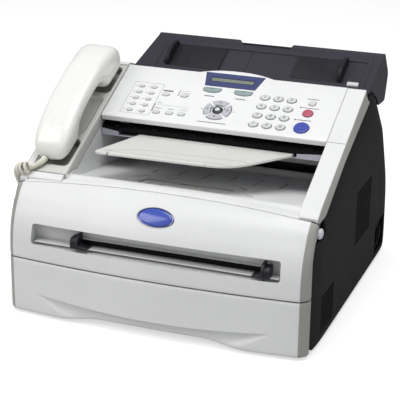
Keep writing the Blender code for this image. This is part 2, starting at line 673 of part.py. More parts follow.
for side, word in ((-1, "left"), (1, "right")):
    piece("adf_guide_" + word, adf_guide(side),
          material("adf_guide_" + word, (0.045, 0.044, 0.055), 0.5),
          origin=(PATH_X + 9.0 + side * 108.0, 268.0, tray_z(268.0)))

# --------------------------------------------------------------- control panel
KEY_FLOOR = -2.5     # underside of the fascia
PANEL_HINGE = vw(221.0, -4.6)
# key name: (x, v, kind)
KEYPAD_X, KEYPAD_V = 82.0, 158.5
NUMBERS = {}
for row, names in enumerate((("key_1", "key_2", "key_3"), ("key_4", "key_5", "key_6"),
                             ("key_7", "key_8", "key_9"), ("key_star", "key_0", "key_hash"))):
    for col, name in enumerate(names):
        NUMBERS[name] = (KEYPAD_X * 0.98 + (col - 1) * KEY_PX, KEYPAD_V + (1.5 - row) * KEY_PV)
ROUND = {"start_key": (121.1, 137.8, 8.8), "stop_key": (121.6, 163.5, 6.0),
         "report_key": (122.2, 181.6, 4.2), "ok_key": (14.3, 151.4, 6.0)}
TABS = {"fax_key": (-4.2, 185.4), "copy_key": (35.2, 185.4)}
NAV = {"nav_up": 90.0, "nav_left": 180.0, "nav_down": 270.0, "nav_right": 0.0}
NAV_R0, NAV_R1 = 8.6, 16.6
ONE_X, ONE_V = (-92.5, -76.5), [134.9 + 11.1 * i for i in range(5)]
FUNC = [(-57.7, 168.8), (-34.2, 170.0), (-58.5, 136.1), (-42.0, 136.6), (-26.8, 137.0)]


def oval(cx, cv, rx, rv, n=14):
    return [(cx + rx * a, cv + rv * b) for a, b in ring(n, 1.0)]


def upright(poly, w0, w1):
    """Extrude an (x, v) outline along the panel's normal."""
    return loft([[(x,) + vw(v, w0) for x, v in poly], [(x,) + vw(v, w1) for x, v in poly]])


def merged(parts):
    """Several disjoint bodies as one cutter."""
    bm = bmesh.new()
    for p in parts:
        mesh = bpy.data.meshes.new("part")
        p.to_mesh(mesh)
        bm.from_mesh(mesh)
        bpy.data.meshes.remove(mesh)
        p.free()
    return bm


def arc_key(angle, r0, r1, half, grow):
    """Quarter segment of the navigation ring."""
    cx, cv = ROUND["ok_key"][0], ROUND["ok_key"][1]
    a0, a1 = radians(angle - half), radians(angle + half)
    n = 6
    pts = [(cx + (r1 + grow) * cos(a0 + (a1 - a0) * i / n),
            cv + (r1 + grow) * sin(a0 + (a1 - a0) * i / n)) for i in range(n + 1)]
    pts += [(cx + (r0 - grow) * cos(a1 + (a0 - a1) * i / n),
             cv + (r0 - grow) * sin(a1 + (a0 - a1) * i / n)) for i in range(n + 1)]
    return pts


def tab(cx, cv, grow):
    """Half-round tab under the display."""
    g = grow
    return [(cx - 11.0 - g, cv + 4.0 + g), (cx - 11.0 - g, cv + 1.5), (cx - 8.5 - g * 0.7, cv - 2.4 - g * 0.7),
            (cx - 4.0, cv - 4.2 - g), (cx + 4.0, cv - 4.2 - g), (cx + 8.5 + g * 0.7, cv - 2.4 - g * 0.7),
            (cx + 11.0 + g, cv + 1.5), (cx + 11.0 + g, cv + 4.0 + g)]


LCD = [(-21.4, 217.6), (53.8, 217.6), (47.5, 193.4), (-15.5, 193.4)]
LCD_CUT = [(-21.9, 218.0), (54.3, 218.0), (47.85, 193.0), (-15.85, 193.0)]


def control_panel():
    edge = [(PANEL_L, PANEL_V0), (PANEL_R, PANEL_V0), (PANEL_R, PANEL_V1), (64.0, PANEL_V1),
            (56.0, PANEL_V1 + 4.0), (40.0, PANEL_V1 + 5.4), (-8.0, PANEL_V1 + 5.4),
            (-22.0, PANEL_V1 + 4.2), (-30.0, PANEL_V1), (PANEL_L, PANEL_V1)]
    bm = upright(edge, -PANEL_T, 0.0)
    edges = [e for e in bm.edges if all(abs((v.co.y - RAIL_Y) * -S + (v.co.z - RAIL_Z) * C) < 0.01
                                        for v in e.verts)]
    bmesh.ops.bevel(bm, geom=edges, offset=0.8, segments=1, profile=0.5, affect='EDGES')
    close(bm)
    inner = [(PANEL_L + 2.5, PANEL_V0 + 2.5), (PANEL_R - 2.5, PANEL_V0 + 2.5),
             (PANEL_R - 2.5, PANEL_V1 - 2.5), (PANEL_L + 2.5, PANEL_V1 - 2.5)]
    bm = minus(bm, upright(inner, -12.0, KEY_FLOOR))
    # window seat: a shallow pocket for the display
    seat = upright([(-23.6, 216.6), (56.0, 216.6), (50.0, 190.6), (-18.0, 190.6)], -5.0, -2.0)
    bm = plus(bm, seat)
    bm = minus(bm, upright(LCD_CUT, -2.2, 3.0))
    g = GAP
    holes = [upright(oval(x, v, KEY_D / 2 + g, KEY_D / 2 - 1.0 + g), -6.0, 3.0)
             for x, v in NUMBERS.values()]
    holes += [upright(oval(x, v, r + g, r + g), -6.0, 3.0) for x, v, r in ROUND.values()]
    holes += [upright(tab(x, v, g), -6.0, 3.0) for x, v in TABS.values()]
    holes += [upright(arc_key(a, NAV_R0, NAV_R1, 38.0, g), -6.0, 3.0) for a in NAV.values()]
    holes += [upright(oval(x, v, 3.4 + g, 2.4 + g, 10), -6.0, 3.0) for x in ONE_X for v in ONE_V]
    holes += [upright(oval(x, v, 4.6 + g, 3.0 + g, 10), -6.0, 3.0) for x, v in FUNC]
    return minus(bm, merged(holes))


piece("control_panel", control_panel(), material("control_panel", WHITE, 0.4),
      origin=(PATH_X, PANEL_HINGE[0], PANEL_HINGE[1]), tilt=TILT)

piece("lcd_window", upright(LCD, -1.8, 0.5),
      material("lcd_window", (0.09, 0.12, 0.30), 0.2),
      origin=(16.0,) + vw(205.5, -0.6), tilt=TILT)


def button(poly, flange, w_top, crown=0.6):
    """Cap standing proud of the fascia with a retaining flange under it."""
    cx = sum(p[0] for p in poly) / len(poly)
    cv = sum(p[1] for p in poly) / len(poly)

    def grown(k, add):
        out = []
        for x, v in poly:
            d = Vector((x - cx, v - cv))
            out.append((cx + d.x * k + (d.normalized().x * add), cv + d.y * k + d.normalized().y * add))
        return out
    rows = [(grown(1.0, flange), -5.0), (grown(1.0, flange), -3.6), (poly, -3.6),
            (poly, w_top - crown), (grown(0.86, 0.0), w_top)]
    return loft([[(x,) + vw(v, w) for x, v in pts] for pts, w in rows])


def key(name, poly, at, rgb, flange=0.9, w_top=1.6):
    piece(name, button(poly, flange, w_top), material(name, rgb, 0.4),
          origin=(at[0],) + vw(at[1], w_top), tilt=TILT, smooth=40)


for name, (x, v) in NUMBERS.items():
    key(name, oval(x, v, KEY_D / 2, KEY_D / 2 - 1.0), (x, v), (0.62, 0.63, 0.63))
key("start_key", oval(*ROUND["start_key"][:2], 8.8, 8.8, 18), ROUND["start_key"], (0.07, 0.09, 0.42))
key("stop_key", oval(*ROUND["stop_key"][:2], 6.0, 6.0), ROUND["stop_key"], (0.45, 0.12, 0.16))
key("report_key", oval(*ROUND["report_key"][:2], 4.2, 4.2), ROUND["report_key"], (0.62, 0.63, 0.63))
key("ok_key", oval(*ROUND["ok_key"][:2], 6.0, 6.0), ROUND["ok_key"], (0.07, 0.07, 0.08), flange=0.8)
for name, (x, v) in TABS.items():
    key(name, tab(x, v, 0.0), (x, v), (0.42, 0.50, 0.52), flange=0.6)
for name, a in NAV.items():
    x = ROUND["ok_key"][0] + 12.6 * cos(radians(a))
    v = ROUND["ok_key"][1] + 12.6 * sin(radians(a))
    key(name, arc_key(a, NAV_R0, NAV_R1, 38.0, 0.0), (x, v), (0.60, 0.60, 0.63), flange=0.0)


def key_mat(spots, rx, rv, w_top):
    """Caps moulded on one web under the fascia."""
    xs, vs = [s[0] for s in spots], [s[1] for s in spots]
    web = slab(min(xs) - rx - 1.0, max(xs) + rx + 1.0, min(vs) - rv - 1.0, max(vs) + rv + 1.0,
               -5.0, -3.7)
    caps = merged([upright(oval(x, v, rx, rv, 10), -4.4, w_top) for x, v in spots])
    return plus(web, caps)


ONE = [(x, v) for x in ONE_X for v in ONE_V]
piece("one_touch_keys", key_mat(ONE, 3.4, 2.4, 1.3), material("one_touch_keys", (0.62, 0.63, 0.62), 0.4),
      origin=(-84.5,) + vw(157.0, 1.3), tilt=TILT)
piece("function_keys", key_mat(FUNC, 4.6, 3.0, 1.4), material("function_keys", (0.62, 0.63, 0.62), 0.4),
      origin=(-42.0,) + vw(152.0, 1.4), tilt=TILT)

# ------------------------------------------------------------------ rear cover
REAR = [(351.6, 77.4), (345.6, 119.0), (314.0, 180.9), (311.2, 180.0), (342.6, 118.2), (347.6, 77.4)]


def rear_cover():
    bm = prism_x(REAR, -151.4, 151.4)
    return minus(bm, box(-30.0, 30.0, 300.0, 330.0, 174.5, 186.0))


piece("rear_cover", rear_cover(), material("rear_cover", CHARCOAL, 0.6),
      origin=(0.0, REAR_AXIS[0], REAR_AXIS[1]))

# ------------------------------------------------------------------- internals
piece("laser_unit", plus(box(-105.0, 105.0, 150.0, 222.0, 103.0, 119.0),
                         box(-30.0, 30.0, 160.0, 200.0, 101.6, 104.0)),
      material("laser_unit", (0.10, 0.10, 0.11), 0.5))


def drum_unit():
    bm = box(-126.0, 126.0, 62.0, 176.0, 80.0, 99.6)
    bm = minus(bm, box(-122.0, 122.0, 66.0, 138.0, 83.0, 102.0),
               box(-122.0, 122.0, 141.0, 173.0, 78.0, 102.0))
    return bm


piece("drum_unit", drum_unit(), material("drum_unit", (0.06, 0.07, 0.09), 0.5))
piece("opc_drum", turned_x(157.0, 89.0, [(-121.5, 4.0), (-116.0, 4.0), (-116.0, 12.0),
                                        (116.0, 12.0), (116.0, 4.0), (121.5, 4.0)], 20),
      material("opc_drum", (0.05, 0.22, 0.16), 0.2), origin=(0.0, 157.0, 89.0), smooth=40)
piece("toner_cartridge", prism_x([(68.0, 84.0), (136.0, 84.0), (136.0, 132.0), (112.0, 138.0),
                                  (72.0, 138.0), (68.0, 130.0)], -118.0, 118.0),
      material("toner_cartridge", (0.04, 0.04, 0.045), 0.45))
piece("heat_roller", turned_x(284.0, 128.0, [(-120.0, 6.0), (-112.0, 6.0), (-112.0, 11.0),
                                             (112.0, 11.0), (112.0, 6.0), (120.0, 6.0)], 18),
      material("heat_roller", (0.20, 0.20, 0.21), 0.3), origin=(0.0, 284.0, 128.0), smooth=40)
piece("pressure_roller", turned_x(284.0, 104.6, [(-120.0, 4.0), (-112.0, 4.0), (-112.0, 12.0),
                                                 (112.0, 12.0), (112.0, 4.0), (120.0, 4.0)], 18),
      material("pressure_roller", (0.30, 0.12, 0.08), 0.6), origin=(0.0, 284.0, 104.6), smooth=40)
piece("pickup_roller", turned_x(48.0, 73.5, [(-157.4, 3.0), (-20.0, 3.0), (-20.0, 11.0),
                                             (20.0, 11.0), (20.0, 3.0), (157.4, 3.0)], 16),
      material("pickup_roller", (0.05, 0.05, 0.05), 0.85), origin=(0.0, 48.0, 73.5), smooth=40)


def main_board():
    bm = box(-170.8, -169.2, 90.0, 250.0, 24.0, 116.0)
    for y0, y1, z0, z1, h in ((120, 150, 60, 90, 2.6), (165, 190, 64, 86, 2.0), (200, 240, 30, 44, 5.0),
                              (100, 112, 36, 56, 4.0)):
        bm = plus(bm, box(-169.6, -169.2 + h, y0, y1, z0, z1))
    return bm


def power_supply():
    bm = box(163.0, 164.6, 60.0, 262.0, 14.0, 66.0)
    return plus(bm, box(164.2, 180.0, 84.0, 116.0, 24.0, 54.0), box(164.2, 178.0, 130.0, 142.0, 20.0, 60.0),
                rod_x(170.0, 40.0, 9.0, 164.2, 181.0, 12), rod_x(206.0, 34.0, 5.0, 164.2, 176.0, 10))


piece("main_board", main_board(), material("main_board", (0.03, 0.16, 0.07), 0.45))
piece("power_supply", power_supply(), material("power_supply", (0.16, 0.12, 0.05), 0.5))
piece("main_motor", turned_x(232.0, 98.0, [(162.6, 12.0), (166.0, 12.0), (166.0, 21.0),
                                           (180.0, 21.0)], 18),
      material("main_motor", (0.45, 0.46, 0.48), 0.35, 1.0), smooth=40)


def ac_inlet():
    bm = box(166.0, 180.6, 294.0, 340.0, 13.0, 54.0)
    bm = minus(bm, box(172.0, 182.0, 299.0, 323.0, 18.0, 40.0))
    return plus(bm, box(171.0, 178.0, 304.0, 306.0, 27.0, 31.0),
                box(171.0, 178.0, 310.0, 312.0, 31.0, 35.0),
                box(171.0, 178.0, 316.0, 318.0, 27.0, 31.0),
                box(180.0, 182.2, 327.0, 336.0, 22.0, 40.0))


piece("ac_inlet", ac_inlet(), material("ac_inlet", (0.035, 0.035, 0.04), 0.5))
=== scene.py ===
# Looks of the desktop laser fax: shells, keys, cord and internals built around
# the moving frame.  Working units are machine millimetres (x across from the
# middle, y from the front corners to the back, z up); put() shifts to metres.
import json
import bpy
import bmesh
from math import radians, sin, cos, pi, sqrt, exp
from mathutils import Vector, Matrix

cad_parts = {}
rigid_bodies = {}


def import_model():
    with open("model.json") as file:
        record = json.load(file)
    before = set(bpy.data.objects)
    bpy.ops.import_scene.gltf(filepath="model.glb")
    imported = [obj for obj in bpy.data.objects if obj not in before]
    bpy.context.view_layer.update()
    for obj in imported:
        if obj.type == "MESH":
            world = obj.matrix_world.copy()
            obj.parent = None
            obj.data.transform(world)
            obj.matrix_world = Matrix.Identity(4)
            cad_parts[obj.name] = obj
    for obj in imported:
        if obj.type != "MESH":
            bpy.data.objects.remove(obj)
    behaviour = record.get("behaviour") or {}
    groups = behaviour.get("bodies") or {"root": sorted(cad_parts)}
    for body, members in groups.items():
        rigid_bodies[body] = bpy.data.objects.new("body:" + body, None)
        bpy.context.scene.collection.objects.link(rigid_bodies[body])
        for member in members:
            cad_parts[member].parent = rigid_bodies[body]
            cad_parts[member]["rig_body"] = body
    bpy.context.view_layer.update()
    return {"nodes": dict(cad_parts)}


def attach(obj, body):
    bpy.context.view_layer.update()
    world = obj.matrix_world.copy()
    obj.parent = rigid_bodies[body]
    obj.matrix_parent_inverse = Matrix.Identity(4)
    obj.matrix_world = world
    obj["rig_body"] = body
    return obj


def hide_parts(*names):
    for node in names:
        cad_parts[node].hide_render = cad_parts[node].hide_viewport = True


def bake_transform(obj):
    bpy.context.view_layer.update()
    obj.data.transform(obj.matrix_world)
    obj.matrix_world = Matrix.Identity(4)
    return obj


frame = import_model()

MM = 0.001
XS, YS = 3.75, -171.45
RAIL_Y, RAIL_Z, TILT = 33.7, 155.1, 25.3
C, S = cos(radians(TILT)), sin(radians(TILT))
BOW, CORNER, GAP = 9.1, 171.0, 0.35
PANEL_L, PANEL_R, PANEL_V0, PANEL_V1 = -124.3, 155.9, 120.2, 217.2
PATH_X = 20.0
HX = -151.2


def vw(v, w):
    return (RAIL_Y + v * C - w * S, RAIL_Z + v * S + w * C)


def floor_z(y):
    return 151.5 - 0.151 * (y - 70.0)


def tray_z(y):
    return 240.2 + 0.467 * (y - 233.5)


def mix(a, b, t):
    return a + (b - a) * t


def ease(t):
    t = max(0.0, min(1.0, t))
    return t * t * (3 - 2 * t)


def polyline(points, x):
    if x <= points[0][0]:
        return points[0][1]
    for (x0, y0), (x1, y1) in zip(points, points[1:]):
        if x <= x1:
            return mix(y0, y1, (x - x0) / max(1e-9, x1 - x0))
    return points[-1][1]


def spline(points, n):
    """n points on a smooth curve through the given ones, evenly spaced by length."""
    pts = [Vector(p) for p in points]
    dense = []
    for i in range(len(pts) - 1):
        p0, p1, p2 = pts[max(i - 1, 0)], pts[i], pts[i + 1]
        p3 = pts[min(i + 2, len(pts) - 1)]
        la, lb, lc = max((p1 - p0).length, 1e-6), (p2 - p1).length, max((p3 - p2).length, 1e-6)
        m1 = (p2 - p1) / lb * 0.5 + (p1 - p0) / la * 0.5 if i else (p2 - p1) / lb
        m2 = (p2 - p1) / lb * 0.5 + (p3 - p2) / lc * 0.5 if i + 2 < len(pts) else (p2 - p1) / lb
        for k in range(12):
            t = k / 12.0
            h00, h10 = 2 * t ** 3 - 3 * t * t + 1, t ** 3 - 2 * t * t + t
            h01, h11 = -2 * t ** 3 + 3 * t * t, t ** 3 - t * t
            dense.append(p1 * h00 + m1 * (h10 * lb) + p2 * h01 + m2 * (h11 * lb))
    dense.append(pts[-1])
    run = [0.0]
    for a, b in zip(dense, dense[1:]):
        run.append(run[-1] + (b - a).length)
    out, j = [], 0
    for i in range(n):
        s = run[-1] * i / (n - 1)
        while j < len(run) - 2 and run[j + 1] < s:
            j += 1
        t = (s - run[j]) / max(1e-9, run[j + 1] - run[j])
        out.append(dense[j].lerp(dense[j + 1], t))
    return out


# ------------------------------------------------------------------ materials
def plastic(name, rgb, rough=0.42, grain=0.35, cell=1500.0, tint=0.05, dust_and_crease_shade=0.35,
            edge=0.5, coat=0.0, metal=0.0, alter=None, sss=0.0, spec=0.5, wear=0.0, shade=0.0):
    """Moulded surface: fine texture in relief, uneven tone and gloss, dust and painted
    shade darkening the creases, painted shade in deep hollows, and softened edges."""
    m = bpy.data.materials.new(name)
    m.use_nodes = True
    nt = m.node_tree
    nodes, links = nt.nodes, nt.links
    b = nodes["Principled BSDF"]
    tc = nodes.new("ShaderNodeTexCoord")

    def noise_tex(scale, detail=2.0, rough_=0.5):
        n = nodes.new("ShaderNodeTexNoise")
        n.inputs["Scale"].default_value = scale
        n.inputs["Detail"].default_value = detail
        n.inputs["Roughness"].default_value = rough_
        links.new(tc.outputs["Object"], n.inputs["Vector"])
        return n

    def blend(a, c, fac, kind='MIX'):
        x = nodes.new("ShaderNodeMix")
        x.data_type = 'RGBA'
        x.blend_type = kind
        for sock, val in ((x.inputs[6], a), (x.inputs[7], c)):
            if isinstance(val, tuple):
                sock.default_value = (*val, 1.0)
            else:
                links.new(val, sock)
        if isinstance(fac, float):
            x.inputs[0].default_value = fac
        else:
            links.new(fac, x.inputs[0])
        return x.outputs[2]

    def span(sock, lo, hi, to_lo, to_hi):
        r = nodes.new("ShaderNodeMapRange")
        links.new(sock, r.inputs["Value"])
        for key_, val in (("From Min", lo), ("From Max", hi), ("To Min", to_lo), ("To Max", to_hi)):
            r.inputs[key_].default_value = val
        return r.outputs["Result"]

    broad = noise_tex(7.0, 3.0)
    speck = noise_tex(420.0, 2.0)
    smear = noise_tex(38.0, 5.0, 0.65)
    dull = tuple(c * (1.0 - 1.6 * tint) for c in rgb)
    other = alter or (rgb[0] * (1 + 0.2 * tint), rgb[1], rgb[2] * (1 - 0.8 * tint))
    col = blend(tuple(rgb), dull, span(broad.outputs["Fac"], 0.38, 0.68, 0.0, 1.0))
    col = blend(col, other, span(speck.outputs["Fac"], 0.42, 0.7, 0.0, 0.35))
    # dust and painted shade: colour darkened in creases found by a short occlusion test
    if dust_and_crease_shade:
        ao = nodes.new("ShaderNodeAmbientOcclusion")
        ao.samples = 3
        ao.inputs["Distance"].default_value = 0.0035
        ao.only_local = True
        dusty_shade = tuple(c * 0.45 + 0.02 for c in rgb)
        col = blend(dusty_shade, col, span(ao.outputs["AO"], 0.25, 0.85, 1.0 - dust_and_crease_shade, 1.0))
    # painted shade: colour dimmed in deep hollows found by a wider occlusion test
    if shade:
        deep = nodes.new("ShaderNodeAmbientOcclusion")
        deep.samples = 6
        deep.inputs["Distance"].default_value = 0.055
        dim = tuple(c * (1.0 - shade) for c in rgb)
        col = blend(dim, col, span(deep.outputs["AO"], 0.08, 0.50, 0.0, 1.0))
    if wear:
        bv = nodes.new("ShaderNodeBevel")
        bv.samples = 3
        bv.inputs["Radius"].default_value = 0.0011
        geo = nodes.new("ShaderNodeNewGeometry")
        dot = nodes.new("ShaderNodeVectorMath")
        dot.operation = 'DOT_PRODUCT'
        links.new(bv.outputs["Normal"], dot.inputs[0])
        links.new(geo.outputs["Normal"], dot.inputs[1])
        rub = nodes.new("ShaderNodeMath")
        rub.operation = 'MULTIPLY'
        links.new(span(dot.outputs["Value"], 0.995, 0.90, 0.0, 1.0), rub.inputs[0])
        links.new(span(smear.outputs["Fac"], 0.42, 0.62, 0.0, wear), rub.inputs[1])
        pale = tuple(min(1.0, c * 1.2 + 0.12) for c in rgb)
        col = blend(col, pale, rub.outputs[0])
    links.new(col, b.inputs["Base Color"])
    play = 0.02 if spec < 0.2 else 0.08
    links.new(span(smear.outputs["Fac"], 0.3, 0.72, rough - play, rough + play), b.inputs["Roughness"])
    b.inputs["Metallic"].default_value = metal
    b.inputs["Specular IOR Level"].default_value = spec
    if coat:
        b.inputs["Coat Weight"].default_value = coat
        b.inputs["Coat Roughness"].default_value = 0.12
    if sss:
        b.inputs["Subsurface Weight"].default_value = sss
        b.inputs["Subsurface Radius"].default_value = (0.0022, 0.0018, 0.0014)
        b.inputs["Subsurface Scale"].default_value = 1.0
    bump = nodes.new("ShaderNodeBump")
    bump.inputs["Strength"].default_value = grain
    bump.inputs["Distance"].default_value = 0.00006
    relief = noise_tex(cell, 2.0, 0.6)
    links.new(relief.outputs["Fac"], bump.inputs["Height"])
    if edge:
        soft = nodes.new("ShaderNodeBevel")
        soft.samples = 3
        soft.inputs["Radius"].default_value = edge * MM
        links.new(soft.outputs["Normal"], bump.inputs["Normal"])
    links.new(bump.outputs["Normal"], b.inputs["Normal"])
    return m


M = {}
# shell_white and front_white share one colour: shell_white paints deep occlusion shade strongly (0.85), front_white
# lightly (0.2)
M["white"] = plastic("shell_white", (0.80, 0.805, 0.81), 0.38, 0.30, 1300.0, 0.035, 0.30, 0.6, spec=0.4, shade=0.85)
M["front"] = plastic("front_white", (0.80, 0.805, 0.81), 0.38, 0.30, 1300.0, 0.035, 0.30, 0.6, spec=0.4, shade=0.2)
# darker grey given to the turned corner faces and rail sides of the white shell: painted shade of those faces
M["grey"] = plastic("corner_shade_grey", (0.36, 0.357, 0.335), 0.42, 0.35, 1300.0, 0.05, 0.30, 0.6)
M["panel"] = plastic("panel_white", (0.84, 0.845, 0.85), 0.34, 0.18, 1500.0, 0.025, 0.22, 0.5, sss=0.04)
M["char"] = plastic("charcoal", (0.025, 0.023, 0.024), 0.62, 0.75, 1050.0, 0.02, 0.2, 0.7, alter=(0.034, 0.032, 0.033), spec=0.04, wear=0.06)
M["tray"] = plastic("tray_blue_grey", (0.040, 0.039, 0.053), 0.52, 0.6, 1200.0, 0.10, 0.25, 0.6, alter=(0.052, 0.051, 0.066), spec=0.16, wear=0.18)
M["tray_dk"] = plastic("tray_guides", (0.016, 0.016, 0.022), 0.48, 0.5, 1200.0, 0.10, 0.2, 0.4, spec=0.22)
M["black"] = plastic("matt_black", (0.006, 0.006, 0.007), 0.7, 0.5, 1200.0, 0.1, 0.2, 0.4, spec=0.08)
M["guide"] = plastic("guide_black", (0.022, 0.022, 0.028), 0.42, 0.35, 1200.0, 0.1, 0.2, 0.5, spec=0.3, wear=0.2)
M["flap"] = plastic("support_grey", (0.72, 0.725, 0.70), 0.46, 0.5, 1200.0, 0.05, 0.3, 0.4)
# cradle_grey and lavender_grey paint shade into their deep wells and recesses
M["cradle"] = plastic("cradle_grey", (0.62, 0.625, 0.595), 0.45, 0.4, 1300.0, 0.04, 0.35, 0.6, shade=0.7)
M["lav"] = plastic("lavender_grey", (0.47, 0.47, 0.54), 0.48, 0.4, 1300.0, 0.06, 0.45, 0.4, shade=0.5)
M["handset"] = plastic("handset_ivory", (0.87, 0.88, 0.845), 0.26, 0.06, 900.0, 0.015, 0.25, 0.7, coat=0.2, sss=0.04)
M["cord"] = plastic("cord_ivory", (0.70, 0.69, 0.60), 0.40, 0.15, 900.0, 0.08, 0.5, 0.0, sss=0.08)
M["key"] = plastic("key_grey", (0.66, 0.67, 0.68), 0.33, 0.25, 1500.0, 0.05, 0.5, 0.25)
# dark grey for the rings in the gaps round the keys: painted shade
M["keyrim"] = plastic("key_gap_shade_grey", (0.20, 0.205, 0.215), 0.45, 0.25, 1500.0, 0.05, 0.3, 0.0)
M["blue"] = plastic("start_blue", (0.055, 0.08, 0.42), 0.30, 0.2, 1500.0, 0.08, 0.4, 0.3, coat=0.2)
M["rose"] = plastic("stop_rose", (0.50, 0.10, 0.155), 0.32, 0.2, 1500.0, 0.08, 0.4, 0.3, coat=0.2)
M["dark"] = plastic("ok_dark", (0.03, 0.03, 0.045), 0.25, 0.15, 1500.0, 0.08, 0.3, 0.2, coat=0.4)
M["tab"] = plastic("tab_green_grey", (0.30, 0.37, 0.37), 0.32, 0.2, 1500.0, 0.06, 0.4, 0.2, coat=0.3)
M["nav"] = plastic("nav_lilac", (0.52, 0.52, 0.58), 0.33, 0.2, 1500.0, 0.05, 0.4, 0.25)
M["ink"] = plastic("print_ink", (0.11, 0.11, 0.13), 0.55, 0.2, 1500.0, 0.05, 0.0, 0.0)
M["ink_pale"] = plastic("print_pale", (0.42, 0.43, 0.45), 0.55, 0.2, 1500.0, 0.05, 0.0, 0.0)
M["bezel"] = plastic("bezel_blue", (0.060, 0.076, 0.190), 0.34, 0.08, 900.0, 0.05, 0.2, 0.25, spec=0.2, coat=0.05)
M["button"] = plastic("release_lilac", (0.66, 0.66, 0.72), 0.34, 0.2, 1300.0, 0.05, 0.4, 0.4, sss=0.05)
M["badge"] = plastic("badge_blue", (0.055, 0.095, 0.50), 0.16, 0.03, 600.0, 0.10, 0.1, 0.0, coat=0.6)
M["chrome"] = plastic("badge_rim", (0.16, 0.17, 0.30), 0.16, 0.05, 900.0, 0.05, 0.2, 0.1, metal=0.9, coat=0.4)
M["steel"] = plastic("zinc_steel", (0.56, 0.57, 0.58), 0.30, 0.25, 500.0, 0.10, 0.4, 0.3, metal=1.0, alter=(0.44, 0.45, 0.47))
M["rubber"] = plastic("roller_rubber", (0.030, 0.030, 0.030), 0.78, 1.0, 2400.0, 0.15, 0.3, 0.3, alter=(0.05, 0.05, 0.05))
M["silicone"] = plastic("silicone_red", (0.28, 0.10, 0.07), 0.6, 0.5, 2000.0, 0.12, 0.3, 0.3)
M["opc"] = plastic("drum_green", (0.035, 0.22, 0.16), 0.12, 0.02, 600.0, 0.05, 0.1, 0.2, coat=0.8)
M["teflon"] = plastic("heat_coating", (0.09, 0.085, 0.08), 0.25, 0.08, 900.0, 0.1, 0.2, 0.3, coat=0.3)
M["pcb"] = plastic("solder_mask", (0.02, 0.14, 0.06), 0.35, 0.3, 700.0, 0.2, 0.3, 0.15, alter=(0.02, 0.10, 0.05), coat=0.3)
M["brown"] = plastic("power_board", (0.20, 0.14, 0.055), 0.5, 0.3, 700.0, 0.15, 0.3, 0.15)
M["int_blk"] = plastic("frame_black", (0.045, 0.045, 0.050), 0.55, 0.5, 1100.0, 0.12, 0.3, 0.5, alter=(0.065, 0.065, 0.068))
M["drumset"] = plastic("drum_blue_black", (0.045, 0.055, 0.08), 0.42, 0.4, 1100.0, 0.1, 0.3, 0.5)
M["green"] = plastic("lever_green", (0.06, 0.30, 0.20), 0.4, 0.3, 1100.0, 0.1, 0.3, 0.4)


def lcd_material():
    """Liquid crystal strip: two rows of faint character cells."""
    m = plastic("lcd_strip", (0.235, 0.27, 0.235), 0.16, 0.02, 400.0, 0.03, 0.0, 0.0, coat=0.7)
    nt = m.node_tree
    b = nt.nodes["Principled BSDF"]
    old = b.inputs["Base Color"].links[0].from_socket
    tc = nt.nodes.new("ShaderNodeTexCoord")
    brick = nt.nodes.new("ShaderNodeTexBrick")
    brick.offset = 0.0
    brick.inputs["Scale"].default_value = 1.0
    brick.inputs["Brick Width"].default_value = 0.0031
    brick.inputs["Row Height"].default_value = 0.0042
    brick.inputs["Mortar Size"].default_value = 0.00035
    brick.inputs["Color1"].default_value = (0.78, 0.80, 0.78, 1)
    brick.inputs["Color2"].default_value = (0.86, 0.88, 0.86, 1)
    brick.inputs["Mortar"].default_value = (1, 1, 1, 1)
    nt.links.new(tc.outputs["Object"], brick.inputs["Vector"])
    mul = nt.nodes.new("ShaderNodeMix")
    mul.data_type = 'RGBA'
    mul.blend_type = 'MULTIPLY'
    mul.inputs[0].default_value = 1.0
    nt.links.new(old, mul.inputs[6])
    nt.links.new(brick.outputs["Color"], mul.inputs[7])
    nt.links.new(mul.outputs[2], b.inputs["Base Color"])
    return m


M["lcd"] = lcd_material()


# ------------------------------------------------------------------ mesh kit
def close(bm, dist=0.0005):
    bmesh.ops.remove_doubles(bm, verts=bm.verts, dist=dist)
    bmesh.ops.recalc_face_normals(bm, faces=bm.faces)
    return bm


def loft(loops, capped=True):
    bm = bmesh.new()
    rows = [[bm.verts.new(p) for p in loop] for loop in loops]
    n = len(rows[0])
    for a, b in zip(rows, rows[1:]):
        for i in range(n):
            j = (i + 1) % n
            bm.faces.new((a[i], a[j], b[j], b[i]))
    if capped:
        bm.faces.new(list(reversed(rows[0])))
        bm.faces.new(rows[-1])
    return close(bm)


def sheet(rows):
    """Open surface through rows of points."""
    bm = bmesh.new()
    grid = [[bm.verts.new(p) for p in r] for r in rows]
    for a, b in zip(grid, grid[1:]):
        for i in range(len(a) - 1):
            bm.faces.new((a[i], a[i + 1], b[i + 1], b[i]))
    return bm


def prism_x(poly, x0, x1):
    return loft([[(x0, y, z) for y, z in poly], [(x1, y, z) for y, z in poly]])


def prism_y(poly, y0, y1):
    return loft([[(x, y0, z) for x, z in poly], [(x, y1, z) for x, z in poly]])


def prism_z(poly, z0, z1):
    return loft([[(x, y, z0) for x, y in poly], [(x, y, z1) for x, y in poly]])


def box(x0, x1, y0, y1, z0, z1):
    return prism_z([(x0, y0), (x1, y0), (x1, y1), (x0, y1)], z0, z1)


def slab(x0, x1, v0, v1, w0, w1):
    return prism_x([vw(v0, w0), vw(v1, w0), vw(v1, w1), vw(v0, w1)], x0, x1)


def upright(poly, w0, w1):
    return loft([[(x,) + vw(v, w0) for x, v in poly], [(x,) + vw(v, w1) for x, v in poly]])


def ring(n, r, turn=0.5):
    return [(r * cos(2 * pi * (i + turn) / n), r * sin(2 * pi * (i + turn) / n)) for i in range(n)]


def turned_x(y, z, steps, n=48):
    return loft([[(x, y + a * r, z + b * r) for a, b in ring(n, 1.0)] for x, r in steps])


